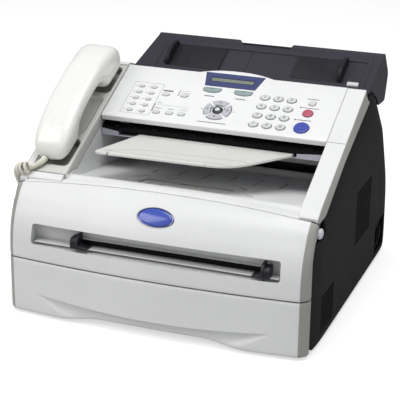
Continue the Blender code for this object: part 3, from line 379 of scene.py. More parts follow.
def rounded(x0, x1, v0, v1, r, n=5):
    """Rounded rectangle outline."""
    out = []
    for cx, cv, a0 in ((x1 - r, v1 - r, 0), (x0 + r, v1 - r, 90), (x0 + r, v0 + r, 180), (x1 - r, v0 + r, 270)):
        for i in range(n + 1):
            a = radians(a0 + 90.0 * i / n)
            out.append((cx + r * cos(a), cv + r * sin(a)))
    return out


def soften(bm, width, angle=40.0, segments=3, only=None):
    edges = [e for e in bm.edges if len(e.link_faces) == 2
             and e.calc_face_angle(0.0) > radians(angle) and (only is None or only(e))]
    bmesh.ops.bevel(bm, geom=edges, offset=width, segments=segments, profile=0.5,
                    affect='EDGES', clamp_overlap=True)
    return close(bm)


def merged(parts):
    bm = bmesh.new()
    for p in parts:
        mesh = bpy.data.meshes.new("part")
        p.to_mesh(mesh)
        bm.from_mesh(mesh)
        bpy.data.meshes.remove(mesh)
        p.free()
    return bm


def solid(bm, name):
    mesh = bpy.data.meshes.new(name)
    bm.to_mesh(mesh)
    ob = bpy.data.objects.new(name, mesh)
    bpy.context.scene.collection.objects.link(ob)
    return ob


def combine(a, b, how, crossing=False):
    for bm in (a, b):
        bmesh.ops.triangulate(bm, faces=[f for f in bm.faces if len(f.verts) > 4])
    oa, ob = solid(a, "body_a"), solid(b, "body_b")
    mod = oa.modifiers.new("cut", 'BOOLEAN')
    mod.operation = how
    mod.solver = 'EXACT'
    mod.use_self = crossing
    mod.object = ob
    deps = bpy.context.evaluated_depsgraph_get()
    mesh = bpy.data.meshes.new_from_object(oa.evaluated_get(deps))
    out = bmesh.new()
    out.from_mesh(mesh)
    bpy.data.objects.remove(oa, do_unlink=True)
    bpy.data.objects.remove(ob, do_unlink=True)
    bpy.data.meshes.remove(mesh)
    a.free()
    b.free()
    bmesh.ops.recalc_face_normals(out, faces=out.faces)
    return out


def minus(a, *cutters):
    for c in cutters:
        a = combine(a, c, 'DIFFERENCE')
    return a


def engrave(a, cutter):
    """Cuts with a cutter whose own shapes may cross one another."""
    return combine(a, cutter, 'DIFFERENCE', True)


def plus(a, *others):
    for c in others:
        a = combine(a, c, 'UNION')
    return a


def common(a, b):
    return combine(a, b, 'INTERSECT')


def tube(points, r, n=10, capped=True):
    """Round rod swept through the points; r is one radius or one for each point."""
    pts = [Vector(p) for p in points]
    loops, side = [], None
    up = Vector((0.3, 0.2, 1.0))
    for i, p in enumerate(pts):
        t = (pts[min(i + 1, len(pts) - 1)] - pts[max(i - 1, 0)]).normalized()
        if side is None:
            side = t.cross(up).normalized()
        side = (side - t * side.dot(t)).normalized()
        other = t.cross(side)
        q = r[i] if isinstance(r, list) else r
        loops.append([tuple(p + side * (q * a) + other * (q * b)) for a, b in ring(n, 1.0)])
    return loft(loops, capped)


def put(name, bm, mats, body, rep=(), smooth=35.0, pick=None, bevel=0.0, segments=2):
    mats = mats if isinstance(mats, (list, tuple)) else [mats]
    if pick:
        for f in bm.faces:
            f.material_index = pick(f.calc_center_median(), f.normal)
    for v in bm.verts:
        v.co = Vector(((v.co.x + XS) * MM, (v.co.y + YS) * MM, v.co.z * MM))
    ob = solid(bm, name)
    ob.data.name = name
    bm.free()
    for m in mats:
        ob.data.materials.append(m)
    if smooth:
        ob.data.shade_smooth()
        ob.data.set_sharp_from_angle(angle=radians(smooth))
    if bevel:
        mod = ob.modifiers.new("edge", 'BEVEL')
        mod.width = bevel * MM
        mod.segments = segments
        mod.limit_method = 'ANGLE'
        mod.angle_limit = radians(38)
        mod.harden_normals = False
    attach(ob, body)
    if rep:
        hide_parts(*([rep] if isinstance(rep, str) else rep))
    return ob


# -------------------------------------------------------- plan of the front
def bulge(x):
    return max(0.0, 1.0 - (x / CORNER) ** 2)


CORNER_PLAN = [(171.0, 0.0), (171.8, 0.3), (172.7, 1.0), (174.6, 2.6), (176.6, 4.5),
               (178.4, 6.4), (179.3, 7.7), (179.8, 9.2), (180.0, 11.0)]


def plan(x):
    a = abs(x)
    if a <= CORNER:
        return -BOW * bulge(x)
    return polyline(CORNER_PLAN, a)


def seam(x):
    b = bulge(x)
    return (33.4 + 8.8 * b, 151.5 + 5.6 * b)


def stations(limit, step):
    n = int(2 * limit / step)
    return [-limit + 2 * limit * i / n for i in range(n + 1)]


FRONT_X = ([-a for a, _ in reversed(CORNER_PLAN[1:])] + stations(CORNER, 5.7)
           + [a for a, _ in CORNER_PLAN[1:]])


def outer_profile(x):
    b, p = bulge(x), plan(x)
    ys, zs = seam(x)
    pts = [(p + 1.1, 70.2), (p + 0.3, 70.8), (p, 72.0), (p + 0.1, 78.0), (p + 0.4, 85.0), (p + 2.0, 100.0),
           (p + 5.0, 112.0), (p + 9.0, 122.0), (p + 14.5, 131.5),
           (p * 0.9 + 21.0, 141.4), (p * 0.6 + 27.0, 147.0 + 1.6 * b)]
    if abs(x) > CORNER:
        # the corner, greyed as painted shade, rolls back to meet the nose of the rail
        k = (abs(x) - CORNER) / 9.0
        pts += [(ys - 1.2 + 0.9 * k, zs - 0.25 - 2.2 * k), (ys - 0.1 + 1.2 * k, zs - 0.7 - 2.8 * k), (ys + 0.5 + 1.2 * k, zs - 1.6 - 3.4 * k)]
        pts = [(min(y, 35.4), z) for y, z in pts]
    else:
        pts += [(ys - 1.2, zs - 0.25), (ys - 0.3, zs - 0.45), (ys, zs - 1.0)]
    return [(q.x, q.y) for q in spline(pts, 46)]


BACK_OF_CORNER = [(69.0, 16.2), (110.5, 16.2), (116.3, 18.0), (122.4, 20.2), (131.0, 25.6), (132.4, 26.6),
                  (133.4, 29.9), (143.9, 30.0), (144.3, 35.7), (153.0, 35.7)]


def cover_loop(x):
    out = outer_profile(x)
    inner = []
    for i, (y, z) in enumerate(out):
        if abs(x) > CORNER:
            inner.append((max(polyline(BACK_OF_CORNER, z), y + 0.25), z))
            continue
        y0, z0 = out[max(i - 1, 0)]
        y1, z1 = out[min(i + 1, len(out) - 1)]
        d = Vector((y1 - y0, z1 - z0)).normalized()
        wall = 2.8
        iy, iz = y + d.y * wall, z - d.x * wall
        if i == 0:
            iy, iz = y + 2.6, z
        inner.append((iy, max(iz, 70.2) if i < 6 else iz))
    return [(x, y, z) for y, z in out + inner[::-1]]


# corner faces of the white cover and cassette take the grey material as painted shade
def turned_face_shade(c, n):
    return 1 if abs(c.x) > 171.4 else 0


def build_front_cover():
    bm = loft([cover_loop(x) for x in FRONT_X])
    skin = []
    for i in range(40):
        x = -152.0 + 304.0 * i / 39.0
        p = plan(x)
        skin.append([(x, p + 0.6, 85.0), (x, p + 2.3, 100.0), (x, p + 5.3, 112.0),
                     (x, p + 9.3, 122.0), (x, 17.0, 122.0), (x, 17.0, 85.0)])
    pocket = common(box(-149.0, 151.0, -20.0, 15.5, 87.6, 118.5), loft(skin))
    bm = plus(bm, pocket)
    # recess flares a little towards the front
    hole = []
    for y, g in ((-20.0, 3.4), (-3.0, 1.9), (5.0, 0.3), (13.0, 0.0)):
        hole.append([(x, y, z) for x, z in rounded(-146.0 - g, 148.0 + g, 90.8 - g * 0.5, 112.6 + g, 2.2 + g, 4)])
    bm = minus(bm, loft(hole), box(PATH_X - 112.0, PATH_X + 112.0, 10.0, 20.0, 94.4, 100.6))
    put("front_cover_skin", bm, [M["front"], M["grey"]], "front_cover", "front_cover",
        28.0, turned_face_shade)

    # floor lip, shelf under the slot and a stiffening rail behind the skin; the black strip along the lower seam is
    # painted shade in the gap
    shelf = soften(box(-145.4, 147.4, 3.0, 12.8, 90.9, 92.2), 0.5)
    put("slot_shelf", shelf, M["panel"], "front_cover")
    # black strip in the gap between cover and cassette: painted shade of the seam
    seam_shade = []
    for x in FRONT_X[3:-3]:
        p = plan(x)
        seam_shade.append([(x, p + 1.5, 69.6), (x, p + 3.2, 69.6), (x, p + 3.2, 71.0), (x, p + 1.5, 71.0)])
    put("cover_seam_shade", loft(seam_shade), M["black"], "front_cover")
    # black block behind the slot stands in for the shade deep inside the feed slot
    dark = box(PATH_X - 111.6, PATH_X + 111.6, 9.4, 12.7, 94.5, 100.4)
    put("slot_shade_block", dark, M["black"], "front_cover")
    ribs = []
    for i in range(13):
        x = -156.0 + 26.0 * i
        p = plan(x)
        ribs.append(loft([[(x - 0.7, p + 2.6, 74.0), (x - 0.7, p + 2.4, 88.0), (x - 0.7, p + 8.0, 88.0),
                           (x - 0.7, p + 5.5, 74.0)],
                          [(x + 0.7, p + 2.6, 74.0), (x + 0.7, p + 2.4, 88.0), (x + 0.7, p + 8.0, 88.0),
                           (x + 0.7, p + 5.5, 74.0)]]))
    put("cover_ribs", merged(ribs), M["white"], "front_cover")

    # blank badge: domed blue oval in a dark rim
    def on_cover(x, z):
        prof = outer_profile(x)
        for (y0, z0), (y1, z1) in zip(prof, prof[1:]):
            if z0 <= z <= z1:
                t = (z - z0) / max(1e-6, z1 - z0)
                return mix(y0, y1, t), Vector((0.0, -(z1 - z0), y1 - y0)).normalized()
        return prof[-1][0], Vector((0, -1, 0))

    def oval_at(k, lift, n=64):
        out = []
        for i in range(n):
            a = 2 * pi * i / n
            ca, sa = cos(a), sin(a)
            x = 1.2 + 22.2 * k * ca
            z = 138.6 + 8.6 * sa * k - 0.02 * (x - 1.2)
            y, n_ = on_cover(x, z)
            out.append(tuple(Vector((x, y, z)) + n_ * lift))
        return out
    rim = loft([oval_at(1.0, -0.6), oval_at(1.0, 0.7), oval_at(0.975, 1.1), oval_at(0.93, 1.15),
                oval_at(0.90, 0.85), oval_at(0.89, -0.6)])
    put("badge_rim", rim, M["chrome"], "front_cover")
    dome = [oval_at(0.885, -0.5), oval_at(0.885, 0.75)]
    for i in range(1, 9):
        k = i / 9.0
        dome.append(oval_at(0.885 * sqrt(1 - k * k) if k < 1 else 0.02, 0.75 + 1.15 * k))
    dome.append(oval_at(0.03, 1.95))
    put("badge_dome", loft(dome), M["badge"], "front_cover", smooth=60)


def build_manual_guides():
    for side, word in ((-1, "left"), (1, "right")):
        edge = PATH_X + side * 108.0
        cheek = [(-4.2, 92.4), (12.0, 92.4), (12.0, 108.4), (4.4, 108.4), (0.4, 106.8), (-3.2, 103.6), (-4.2, 102.0)]
        xs = sorted((edge, edge + side * 3.2))
        block = [(-3.0, 92.4), (12.0, 92.4), (12.0, 104.8), (1.0, 104.8), (-3.0, 102.0)]
        xb = sorted((edge + side * 2.8, edge + side * 9.8))
        bm = plus(soften(prism_x(cheek, *xs), 0.7, 30, 3), soften(prism_x(block, *xb), 0.9, 30, 3))
        rows = []
        for i in range(14):
            t = i / 13.0
            x = edge - side * (11.6 * t - 1.0)
            h = 4.6 * (1 - 0.55 * ease(t)) * (1 if t < 0.93 else 0.75)
            y0 = -3.4 + 2.2 * t * t
            rows.append([(x, y0, 92.4), (x, 12.0, 92.4), (x, 12.0, 92.4 + h), (x, 4.0, 92.4 + h),
                         (x, y0 + 0.8, 92.4 + h * 0.92), (x, y0, 92.4 + h * 0.6)])
        bm = plus(bm, loft(rows))
        put("manual_guide_" + word + "_skin", bm, M["guide"], "manual_guide_" + word,
            "manual_guide_" + word, 30.0)
        grips = merged([soften(box(*sorted((edge + side * (3.6 + 2.0 * i), edge + side * (4.6 + 2.0 * i))),
                                   -3.5, -2.6, 93.6, 101.2), 0.3) for i in range(3)])
        put("manual_guide_" + word + "_grips", grips, M["guide"], "manual_guide_" + word)


# ----------------------------------------------------------------- cassette
def grip_z(x):
    return 21.0 + 11.0 * min(1.0, (x / 168.0) ** 2)


def build_cassette():
    def loop(x):
        p, a = plan(x), abs(x)
        g = grip_z(x)
        depth = 7.6 * sqrt(max(0.0, 1.0 - (a / 152.0) ** 2)) * ease((152.0 - a) / 46.0) if a < 152.0 else 0.0
        low = 4.0 + 4.6 * ease((122.0 - a) / 66.0)
        # lower edge of the scooped grip: leaves the bottom edge towards both ends
        foot = low if a < 88.0 else low + (g - low) * ease((a - 88.0) / 62.0)
        out = []
        for i in range(22):
            t = i / 21.0
            z = mix(low, g, t ** 0.85)
            k = mix(1.0, ease((z - foot) / max(3.0, (g - foot) * 0.6)), ease((a - 66.0) / 44.0))
            y = p + depth * k
            if z > g - 1.4:
                y = p + depth * ease((g - z) / 1.4) * k
            out.append((y + (0.9 if i == 0 else 0.3 if i == 1 else 0.0), z))
        for i in range(1, 13):
            out.append((p, mix(g, 66.6, i / 12.0)))
        out += [(p + 0.15, 67.2), (p + 0.5, 68.1), (p + 1.1, 68.8)]
        back = 16.2 if a > CORNER else 9.6
        inner = [(max(back, y + 0.3), z) for y, z in out]
        inner[-1] = (back, 68.8)
        return [(x, y, z) for y, z in out + inner[::-1]]

    xs = sorted(set([round(v, 3) for v in FRONT_X + stations(CORNER, 3.8)]))
    bm = loft([loop(x) for x in xs])
    inner = []
    for i in range(37):
        x = -167.0 + 334.0 * i / 36.0
        y = plan(x) + 3.0
        yy = max(y, plan(x) + 9.4)
        inner.append([(x, yy, 13.0), (x, yy, grip_z(x) + 1.0),
                      (x, y, grip_z(x) + 4.5), (x, y, 66.0), (x, 12.0, 66.0), (x, 12.0, 13.0)])
    bm = minus(bm, loft(inner))
    put("cassette_front_skin", bm, [M["front"], M["grey"]], "cassette", "cassette_front",
        28.0, turned_face_shade)


build_front_cover()
build_manual_guides()
build_cassette()


# ------------------------------------------------------------------ top cover
def build_top_cover():
    rail_top = [(q.x, q.y) for q in spline([(36.2, 153.3), (38.6, 155.5), (41.4, 157.6), (45.0, 160.2), (50.0, 162.8)], 12)]
    rail_top += [vw(60.0, 0.0), vw(120.0, 0.0), vw(215.6, 0.0)]
    rail_low = [(229.5, 232.4), (121.0, 189.4), (60.0, 157.6), (50.2, 152.6), (36.2, 146.9)]
    hollow = [(46.0, 130.0), (46.0, 158.0), vw(213.0, -2.8), (227.0, 200.0)]

    def lip_loop(x):
        xx = min(abs(x), CORNER)
        ys, zs = seam(xx)
        ys += GAP
        b = bulge(xx)
        front = spline([(ys, zs - 1.6), (ys + 0.05, zs - 0.5), (ys + 0.9, zs + 0.15), (50.0, zs + 1.9), (55.0, 157.0 + 2.0 * b),
                        (59.0, 157.2 + 1.4 * b), (62.5, 155.9 + 0.7 * b), (66.5, 153.2), (72.5, floor_z(72.5)), (80.0, floor_z(80.0))], 40)
        top = [(q.x, q.y) for q in front] + [(226.0, floor_z(226.0))]
        low = [(226.0, floor_z(226.0) - 3.0)]
        for q in reversed(front[4:]):
            low.append((max(q.x - 0.6, ys + 0.6), q.y - 3.0))
        low.append((ys, zs - 3.0))
        return [(x, y, z) for y, z in top + low]

    xs = [-171.7] + [-168.0 + 326.0 * i / 64.0 for i in range(65)]
    bm = loft([lip_loop(x) for x in xs])
    rail = prism_x(rail_top + rail_low, 156.4, 178.5)
    bm = plus(bm, minus(rail, prism_x(hollow, 159.0, 176.0)))

    # right flank of the dish: a hollowed slope whose foot curves out at the front
    flank = []
    n = 34
    for i in range(n + 1):
        y = mix(49.5, 140.6, (i / n) ** 1.15)
        t = max(0.0, min(1.0, (y - 52.0) / 26.0))
        foot = 157.0 - (157.0 - mix(146.5, 142.5, ease((y - 70) / 60))) * sqrt(max(0.0, 1 - (1 - t) ** 2))
        top = RAIL_Z + (y - RAIL_Y) * S / C - 0.5
        if y < 51.0:
            top = 161.9
        base = floor_z(max(y, 72.0))
        low = base - 1.5
        pts = [(158.8, low), (158.8, top), (157.0, top)]
        for k in range(1, 12):
            u = k / 12.0
            pts.append((mix(157.0, foot, 0.30 * u + 0.70 * u ** 2.1), mix(top, base - 0.2, 0.18 * u + 0.82 * (1 - (1 - u) ** 1.9))))
        pts += [(foot, base - 0.3), (foot, low)]
        flank.append([(x, y, z) for x, z in pts])
    bm = plus(bm, loft(flank))
    bm = plus(bm, prism_x([(138.0, 140.0), (138.0, 203.0), vw(215.0, -2.0), (229.0, 127.5),
                           (224.0, 126.0)], 156.3, 159.0))
    left = prism_x(rail_top + rail_low, -178.5, -169.5)
    bm = plus(bm, minus(left, prism_x(hollow, -176.0, -171.8)))
    bm = plus(bm, prism_x([vw(12.8, -17.5), vw(215.3, -17.5), vw(215.3, -1.0), vw(12.8, -1.0)],
                          -171.9, -169.6))
    bm = plus(bm, prism_x([vw(12.3, -17.7), vw(215.4, -17.7), vw(215.4, -15.2), vw(12.3, -15.2)],
                          -171.8, -125.05))
    nose = [(38.4, 150.6), (38.6, 155.4)] + [p for p in rail_top if p[0] > 41.0 and p[0] < 46.0] + [vw(13.6, 0.0), vw(13.6, -16.0), (46.0, 146.4)]
    bm = plus(bm, prism_x(nose, -172.2, -127.1))
    bm = plus(bm, prism_x([(60.0, 151.0), (60.0, 165.5), vw(215.5, -1.5), (229.4, 127.5),
                           (224.0, 125.8), (72.0, 149.0)], -127.6, -124.9))
    # soft shoulder between the left arm and the dish
    arm = []
    for i in range(25):
        y = mix(47.5, 139.5, i / 24.0)
        top = RAIL_Z + (y - RAIL_Y) * S / C - 1.2
        base = floor_z(max(y, 72.0))
        reach = 2.2 + 11.0 * exp(-((y - 47.5) / 17.0) ** 2)
        pts = [(-127.2, base - 1.4), (-127.2, top), (-125.4, top)]
        for k in range(1, 12):
            u = k / 12.0
            pts.append((-125.4 + reach * (1 - sqrt(max(0.0, 1 - u * u))) * 1.0, mix(top, base - 0.3, u)))
        pts += [(-125.4 + reach, base - 0.4), (-125.4 + reach, base - 1.4)]
        arm.append([(x, y, z) for x, z in pts])
    bm = plus(bm, loft(arm))
    bm = plus(bm, box(-126.1, 157.6, 225.2, 228.6, 125.7, 176.0))
    bm = minus(bm, box(PATH_X - 110.0, PATH_X + 110.0, 220.0, 232.0, 136.0, 148.0))
    deck = spline([vw(215.2, 0.0), (232.0, 247.9), (238.0, 247.6), (246.0, 244.8), (258.0, 238.6), (268.0, 232.6),
                   (278.0, 226.0), (285.0, 219.4), (290.4, 213.6)], 30)
    bm = plus(bm, prism_x([(228.9, 246.0)] + [(q.x, q.y) for q in deck] + [(288.4, 211.6), (275.0, 223.2),
                          (250.6, 236.8), (234.5, 243.4)], -178.35, -125.2))
    bm = plus(bm, prism_x([vw(213.9, -16.5), vw(213.9, -0.6), vw(215.9, -0.6), vw(215.9, -16.5)],
                          -171.6, -125.3))
    cheek = [(30.6, 131.6), (30.6, 143.4), (36.3, 143.8), (36.3, 147.4), (49.8, 153.1), (50.0, 150.0),
             (50.0, 136.4), (43.8, 132.0)]
    for sx in (-1, 1):
        a, b = sorted((sx * 176.8, sx * 178.4))
        bm = plus(bm, prism_x(cheek, a, b))
    # handset trough, rounded at both ends
    trough = [[(x,) + vw(v, w) for x, v in rounded(-169.5 + s, -124.7 - s, 13.7 + s, 213.8 - s, 7.0, 6)]
              for w, s in ((-15.1, 0.0), (-1.6, 0.0), (0.4, -1.4), (12.0, -1.4))]
    bm = minus(bm, loft(trough))
    bm = minus(bm, prism_x([(30.0, 133.0), (38.6, 132.6), (41.0, 136.0), (41.0, 143.6),
                            (31.4, 144.0)], 174.0, 182.0))
    bm = plus(bm, prism_x([(73.5, floor_z(73.5) - 1.0), (113.0, floor_z(113.0) - 1.0),
                           (113.0, floor_z(113.0) - 5.6), (73.5, floor_z(73.5) - 5.6)],
                          -53.0, 61.0))
    bm = minus(bm, prism_x([(76.8, floor_z(76.8) + 3.0), (109.2, floor_z(109.2) + 3.0),
                            (109.2, floor_z(109.2) - 3.6), (76.8, floor_z(76.8) - 3.6)],
                           -50.0, 58.0))

    # shut lines and slots: rail joint, slots in the dish floor
    def floor_slot(x0, y0, x1, y1, wide, deep=1.4):
        d = Vector((x1 - x0, y1 - y0)).normalized()
        nx, ny = -d.y * wide / 2, d.x * wide / 2
        poly = [(x0 + nx, y0 + ny), (x0 - nx, y0 - ny), (x1 - nx, y1 - ny), (x1 + nx, y1 + ny)]
        z = floor_z((y0 + y1) / 2)
        return prism_z(poly, z - deep, z + 6.0)
    cuts = [slab(156.0, 179.0, 120.0, 120.55, -0.9, 1.0),
            floor_slot(-56.0, 92.0, -44.0, 108.0, 1.7), floor_slot(-70.0, 112.0, -56.0, 128.0, 1.7),
            floor_slot(-72.0, 93.0, -69.0, 95.0, 2.6), floor_slot(78.0, 92.0, 86.0, 92.6, 2.0),
            floor_slot(-30.0, 120.0, -18.0, 134.0, 1.7), floor_slot(70.0, 118.0, 58.0, 132.0, 1.7)]
    for k in range(6):
        cuts.append(floor_slot(-60.0 + 32.0 * k, 150.0, -60.0 + 32.0 * k, 215.0, 1.4, 0.8))
    bm = engrave(bm, merged(cuts))

    # floors and walls of the dish slots take the dark ink colour as painted shade; outer cheek faces beside the release
    # button take the charcoal colour
    def slot_shade_and_dark_cheeks(c, n):
        if -118.0 < c.x < 150.0 and 70.0 < c.y < 222.0 and floor_z(c.y) - 1.6 < c.z < floor_z(c.y) - 0.25:
            return 1
        return 2 if abs(c.x) > 176.0 and c.y < 50.1 and c.z < 150.0 and abs(n.x) > 0.8 else 0
    put("top_cover_skin", bm, [M["white"], M["ink"], M["char"]], "body", "top_cover", 32.0, slot_shade_and_dark_cheeks)

    # leaning side strips that close the rails against the dark covers; their grey is painted shade on the leaning faces
    # of the white rails
    for sx, word in ((1, "right"), (-1, "left")):
        rows = []
        for i in range(40):
            t = i / 39.0
            y = mix(36.4, 229.0, t)
            top = polyline(rail_top, y) - 0.15 if y < rail_top[-1][0] else polyline(
                [(rail_top[-1][0], rail_top[-1][1]), (229.0, 236.5)], y)
            low = polyline([(36.4, 147.2), (50.2, 152.9), (60.0, 157.9), (121.0, 189.7), (229.5, 232.7)], y)
            if low > top - 1.0:
                low = top - 1.0
            reach = 183.2 if y > 52 else mix(180.0, 183.2, ease((y - 36.4) / 15.6))
            rows.append([(sx * 178.2, y, top - 0.4), (sx * 178.9, y, top), (sx * 179.5, y, top - 0.5),
                         (sx * mix(179.5, reach, 0.5), y, mix(top, low, 0.52)),
                         (sx * reach, y, low + 0.5), (sx * (reach - 0.4), y, low), (sx * 178.2, y, low)])
        put("rail_strip_" + word, loft(rows), M["grey"], "body", smooth=30)


build_top_cover()


# ----------------------------------------------------------------- side covers
def build_side_cover(sx, word):
    tops = [(16.8, 110.0), (18.8, 116.0), (21.2, 121.8), (27.2, 130.0), (44.0, 131.6), (50.3, 136.0),
            (50.6, 152.2), (121.0, 188.9), (229.5, 231.9), (243.0, 236.2), (250.0, 236.3), (258.0, 233.6),
            (274.0, 223.0), (287.0, 210.0), (314.0, 182.0), (346.0, 119.0), (352.0, 76.0)]
    ys = [16.8, 17.1, 17.6, 18.4, 19.6, 21.2, 23.4, 26.0, 29.0, 33.0, 37.0, 41.0, 45.0, 48.0, 50.2, 50.7]
    ys += [54.0 + 5.0 * i for i in range(59)]
    ys += [346.5, 348.5, 350.0, 351.0, 351.7, 352.0]
    rows = []
    nz = 30
    for y in ys:
        top = polyline(tops, y)
        low = 4.6 if 23.0 < y < 344.0 else (mix(12.0, 4.6, (y - 16.8) / 6.2) if y <= 23.0 else
                                           polyline([(344.0, 4.6), (350.0, 10.0), (352.0, 74.0)], y))
        roof = polyline([(0.0, 900.0), (50.3, 900.0), (50.6, 152.2)] + tops[7:], y)
        outer = []
        for i in range(nz + 1):
            t = i / nz
            z = mix(low, top, 1 - (1 - t) ** 1.35)
            front = 1 - exp(-(max(0.0, y - 16.8) / 15.0))
            under = 1 - exp(-(max(0.0, min(roof, 400.0) - z) + 0.8) / 16.0)
            back = 1 - 0.3 * exp(-(max(0.0, 352.0 - y) / 8.0))
            foot = 1 - 0.35 * exp(-(max(0.0, z - 4.6) / 5.0))
            x = 179.9 + 5.1 * front * under * back * foot
            outer.append((x, z))
        inner = [(max(172.3, x - 2.4), min(max(z, low + 0.02), top)) for x, z in outer]
        rows.append([(sx * x, y, z) for x, z in outer + inner[::-1]])
    bm = loft(rows)
    cuts = []
    for y0, y1, z0, z1, count, rise in ((184.0, 256.0, 68.0, 136.0, 15, 0.0), (44.0, 93.0, 16.0, 62.0, 10, 0.0)):
        step = (z1 - z0) / count
        for i in range(count):
            z = z0 + i * step
            a, b = sorted((sx * 174.0, sx * 188.0))
            h = step * 0.54
            shift = 0.0
            poly = [(y0 + 0.6 + shift, z), (y1 - 0.6 + shift, z + rise), (y1 + shift, z + rise + h / 2),
                    (y1 - 0.6 + shift, z + rise + h), (y0 + 0.6 + shift, z + h), (y0 + shift, z + h / 2)]
            cuts.append(prism_x(poly, a, b))
    bm = minus(bm, merged(cuts))
    if sx > 0:
        bm = minus(bm, prism_x(rounded(292.0, 342.0, 12.0, 56.0, 3.0), 170.0, 190.0))
    else:
        bm = minus(bm, prism_x(rounded(62.0, 76.0, 96.0, 108.0, 2.0), -190.0, -170.0))
    # a single shallow round dimple
    dots = [prism_x([(yy + a, zz + b) for a, b in ring(20, 1.5)], *sorted((sx * 184.0, sx * 187.0)))
            for yy, zz in ((118.0, 120.0),)]
    bm = minus(bm, merged(dots))

    # walls inside the vent slots painted black as the shade inside the vents
    def slot_wall_shade(c, n):
        a = abs(c.x)
        if a > 184.75 or a < 181.0 or abs(n.x) > 0.7:
            return 0
        return 1 if (182.0 < c.y < 258.0 and 66.0 < c.z < 142.0) or (41.0 < c.y < 95.0 and 16.0 < c.z < 68.0) else 0
    put(word + "_side_cover_skin", bm, [M["char"], M["black"]], "body", word + "_side_cover", 32.0, slot_wall_shade)
    if sx > 0:
        bay = merged([box(171.2, 172.2, 288.0, 346.0, 8.0, 60.0), box(172.2, 182.9, 342.6, 343.8, 9.0, 59.0),
                      box(172.2, 182.9, 290.2, 291.4, 9.0, 59.0), box(172.2, 182.9, 291.4, 342.6, 10.2, 11.4),
                      box(172.2, 182.9, 291.4, 342.6, 56.6, 57.8)])
        put("inlet_bay", bay, M["black"], "body")
    # black sheets a little way behind the slots stand in for the shade inside the vents
    for k, (y0, y1, z0, z1) in enumerate(((182.0, 258.0, 66.0, 139.0), (42.0, 94.0, 16.0, 65.0))):
        a, b = sorted((sx * 181.2, sx * 182.0))
        put("%s_vent_shade_sheet_%d" % (word, k + 1), box(a, b, y0, y1, z0, z1), M["black"], "body")


build_side_cover(1, "right")
build_side_cover(-1, "left")


# -------------------------------------------------------------- release button
def build_release():
    pts = [(31.0, 133.6), (33.2, 132.8), (36.2, 133.2), (38.8, 134.6), (40.3, 137.0), (40.4, 140.0),
           (38.9, 142.3), (36.2, 143.2), (33.4, 142.6), (31.6, 140.6), (30.7, 137.2)]
    prof = [(q.x, q.y) for q in spline(pts + [pts[0]], 44)][:-1]
    cy = sum(p[0] for p in prof) / len(prof)
    cz = sum(p[1] for p in prof) / len(prof)
    rows = []
    for x, k in ((172.0, 1.0), (180.4, 1.0), (181.4, 1.06), (182.6, 1.05), (183.6, 0.94), (184.3, 0.76), (184.7, 0.5), (184.8, 0.12)):
        rows.append([(x, cy + (y - cy) * k * (1.12 if y > cy and x > 181.0 else 1.0), cz + (z - cz) * k) for y, z in prof])
    put("release_button_skin", loft(rows), M["button"], "cover_release_button", "cover_release_button",
        50.0)


build_release()


# ------------------------------------------------------------------ dish flap
def build_output_flap():
    f = floor_z
    poly = [(78.4, f(78.4) - 0.3), (107.4, f(107.4) - 0.3), (108.6, f(108.6) - 0.9), (108.6, f(108.6) - 2.7),
            (77.9, f(77.9) - 2.7), (77.9, f(77.9) - 0.7)]
    bm = minus(prism_x(poly, -49.4, 57.4), prism_z(rounded(-8.0, 16.0, 103.0, 112.0, 3.0), 140.0, 152.0))
    bm = soften(bm, 0.5, 45.0, 2)
    ribs = [loft([[(x - 0.5, y, f(y) - 0.5 + h), (x + 0.5, y, f(y) - 0.5 + h), (x + 0.5, y, f(y) - 1.0), (x - 0.5, y, f(y) - 1.0)]
                  for y, h in ((83.0, 0.0), (85.0, 0.75), (99.0, 0.75), (101.0, 0.0))]) for x in (-38.0, -24.0, 32.0, 46.0)]
    put("output_flap_skin", plus(bm, merged(ribs)), M["flap"], "output_flap", "output_flap", 40.0)


build_output_flap()


# --------------------------------------------------------- handset and cradle
def build_cradle():
    bm = slab(-169.2, -125.2, 14.2, 213.4, -14.9, 0.0)
    walls = soften(bm, 1.2, 60.0, 3)

    def well(x0, x1, v0, v1, deep, flare):
        return loft([[(x,) + vw(v, w) for x, v in rounded(x0 + s, x1 - s, v0 + s, v1 - s, 6.0, 6)]
                     for w, s in ((deep, 1.5), (deep + 1.5, 0.4), (-2.0, 0.0), (0.5, -flare), (4.0, -flare))])
    bm = minus(walls, well(-166.2, -130.0, 28.0, 72.0, -10.0, 1.6), well(-166.2, -130.0, 160.0, 208.5, -10.0, 1.6),
               well(-162.0, -133.0, 84.0, 150.0, -4.0, 2.4))
    bm = minus(bm, upright(rounded(-157.4, -147.6, 182.6, 192.4, 1.6, 4), -20.0, -5.0))
    put("handset_cradle_skin", bm, M["cradle"], "body", "handset_cradle", 32.0)
    hook = soften(slab(-156.4, -148.6, 183.6, 191.4, -13.6, 0.0), 1.1, 50, 3)
    put("hook_switch_skin", hook, M["key"], "hook_switch", "hook_switch", 40.0)


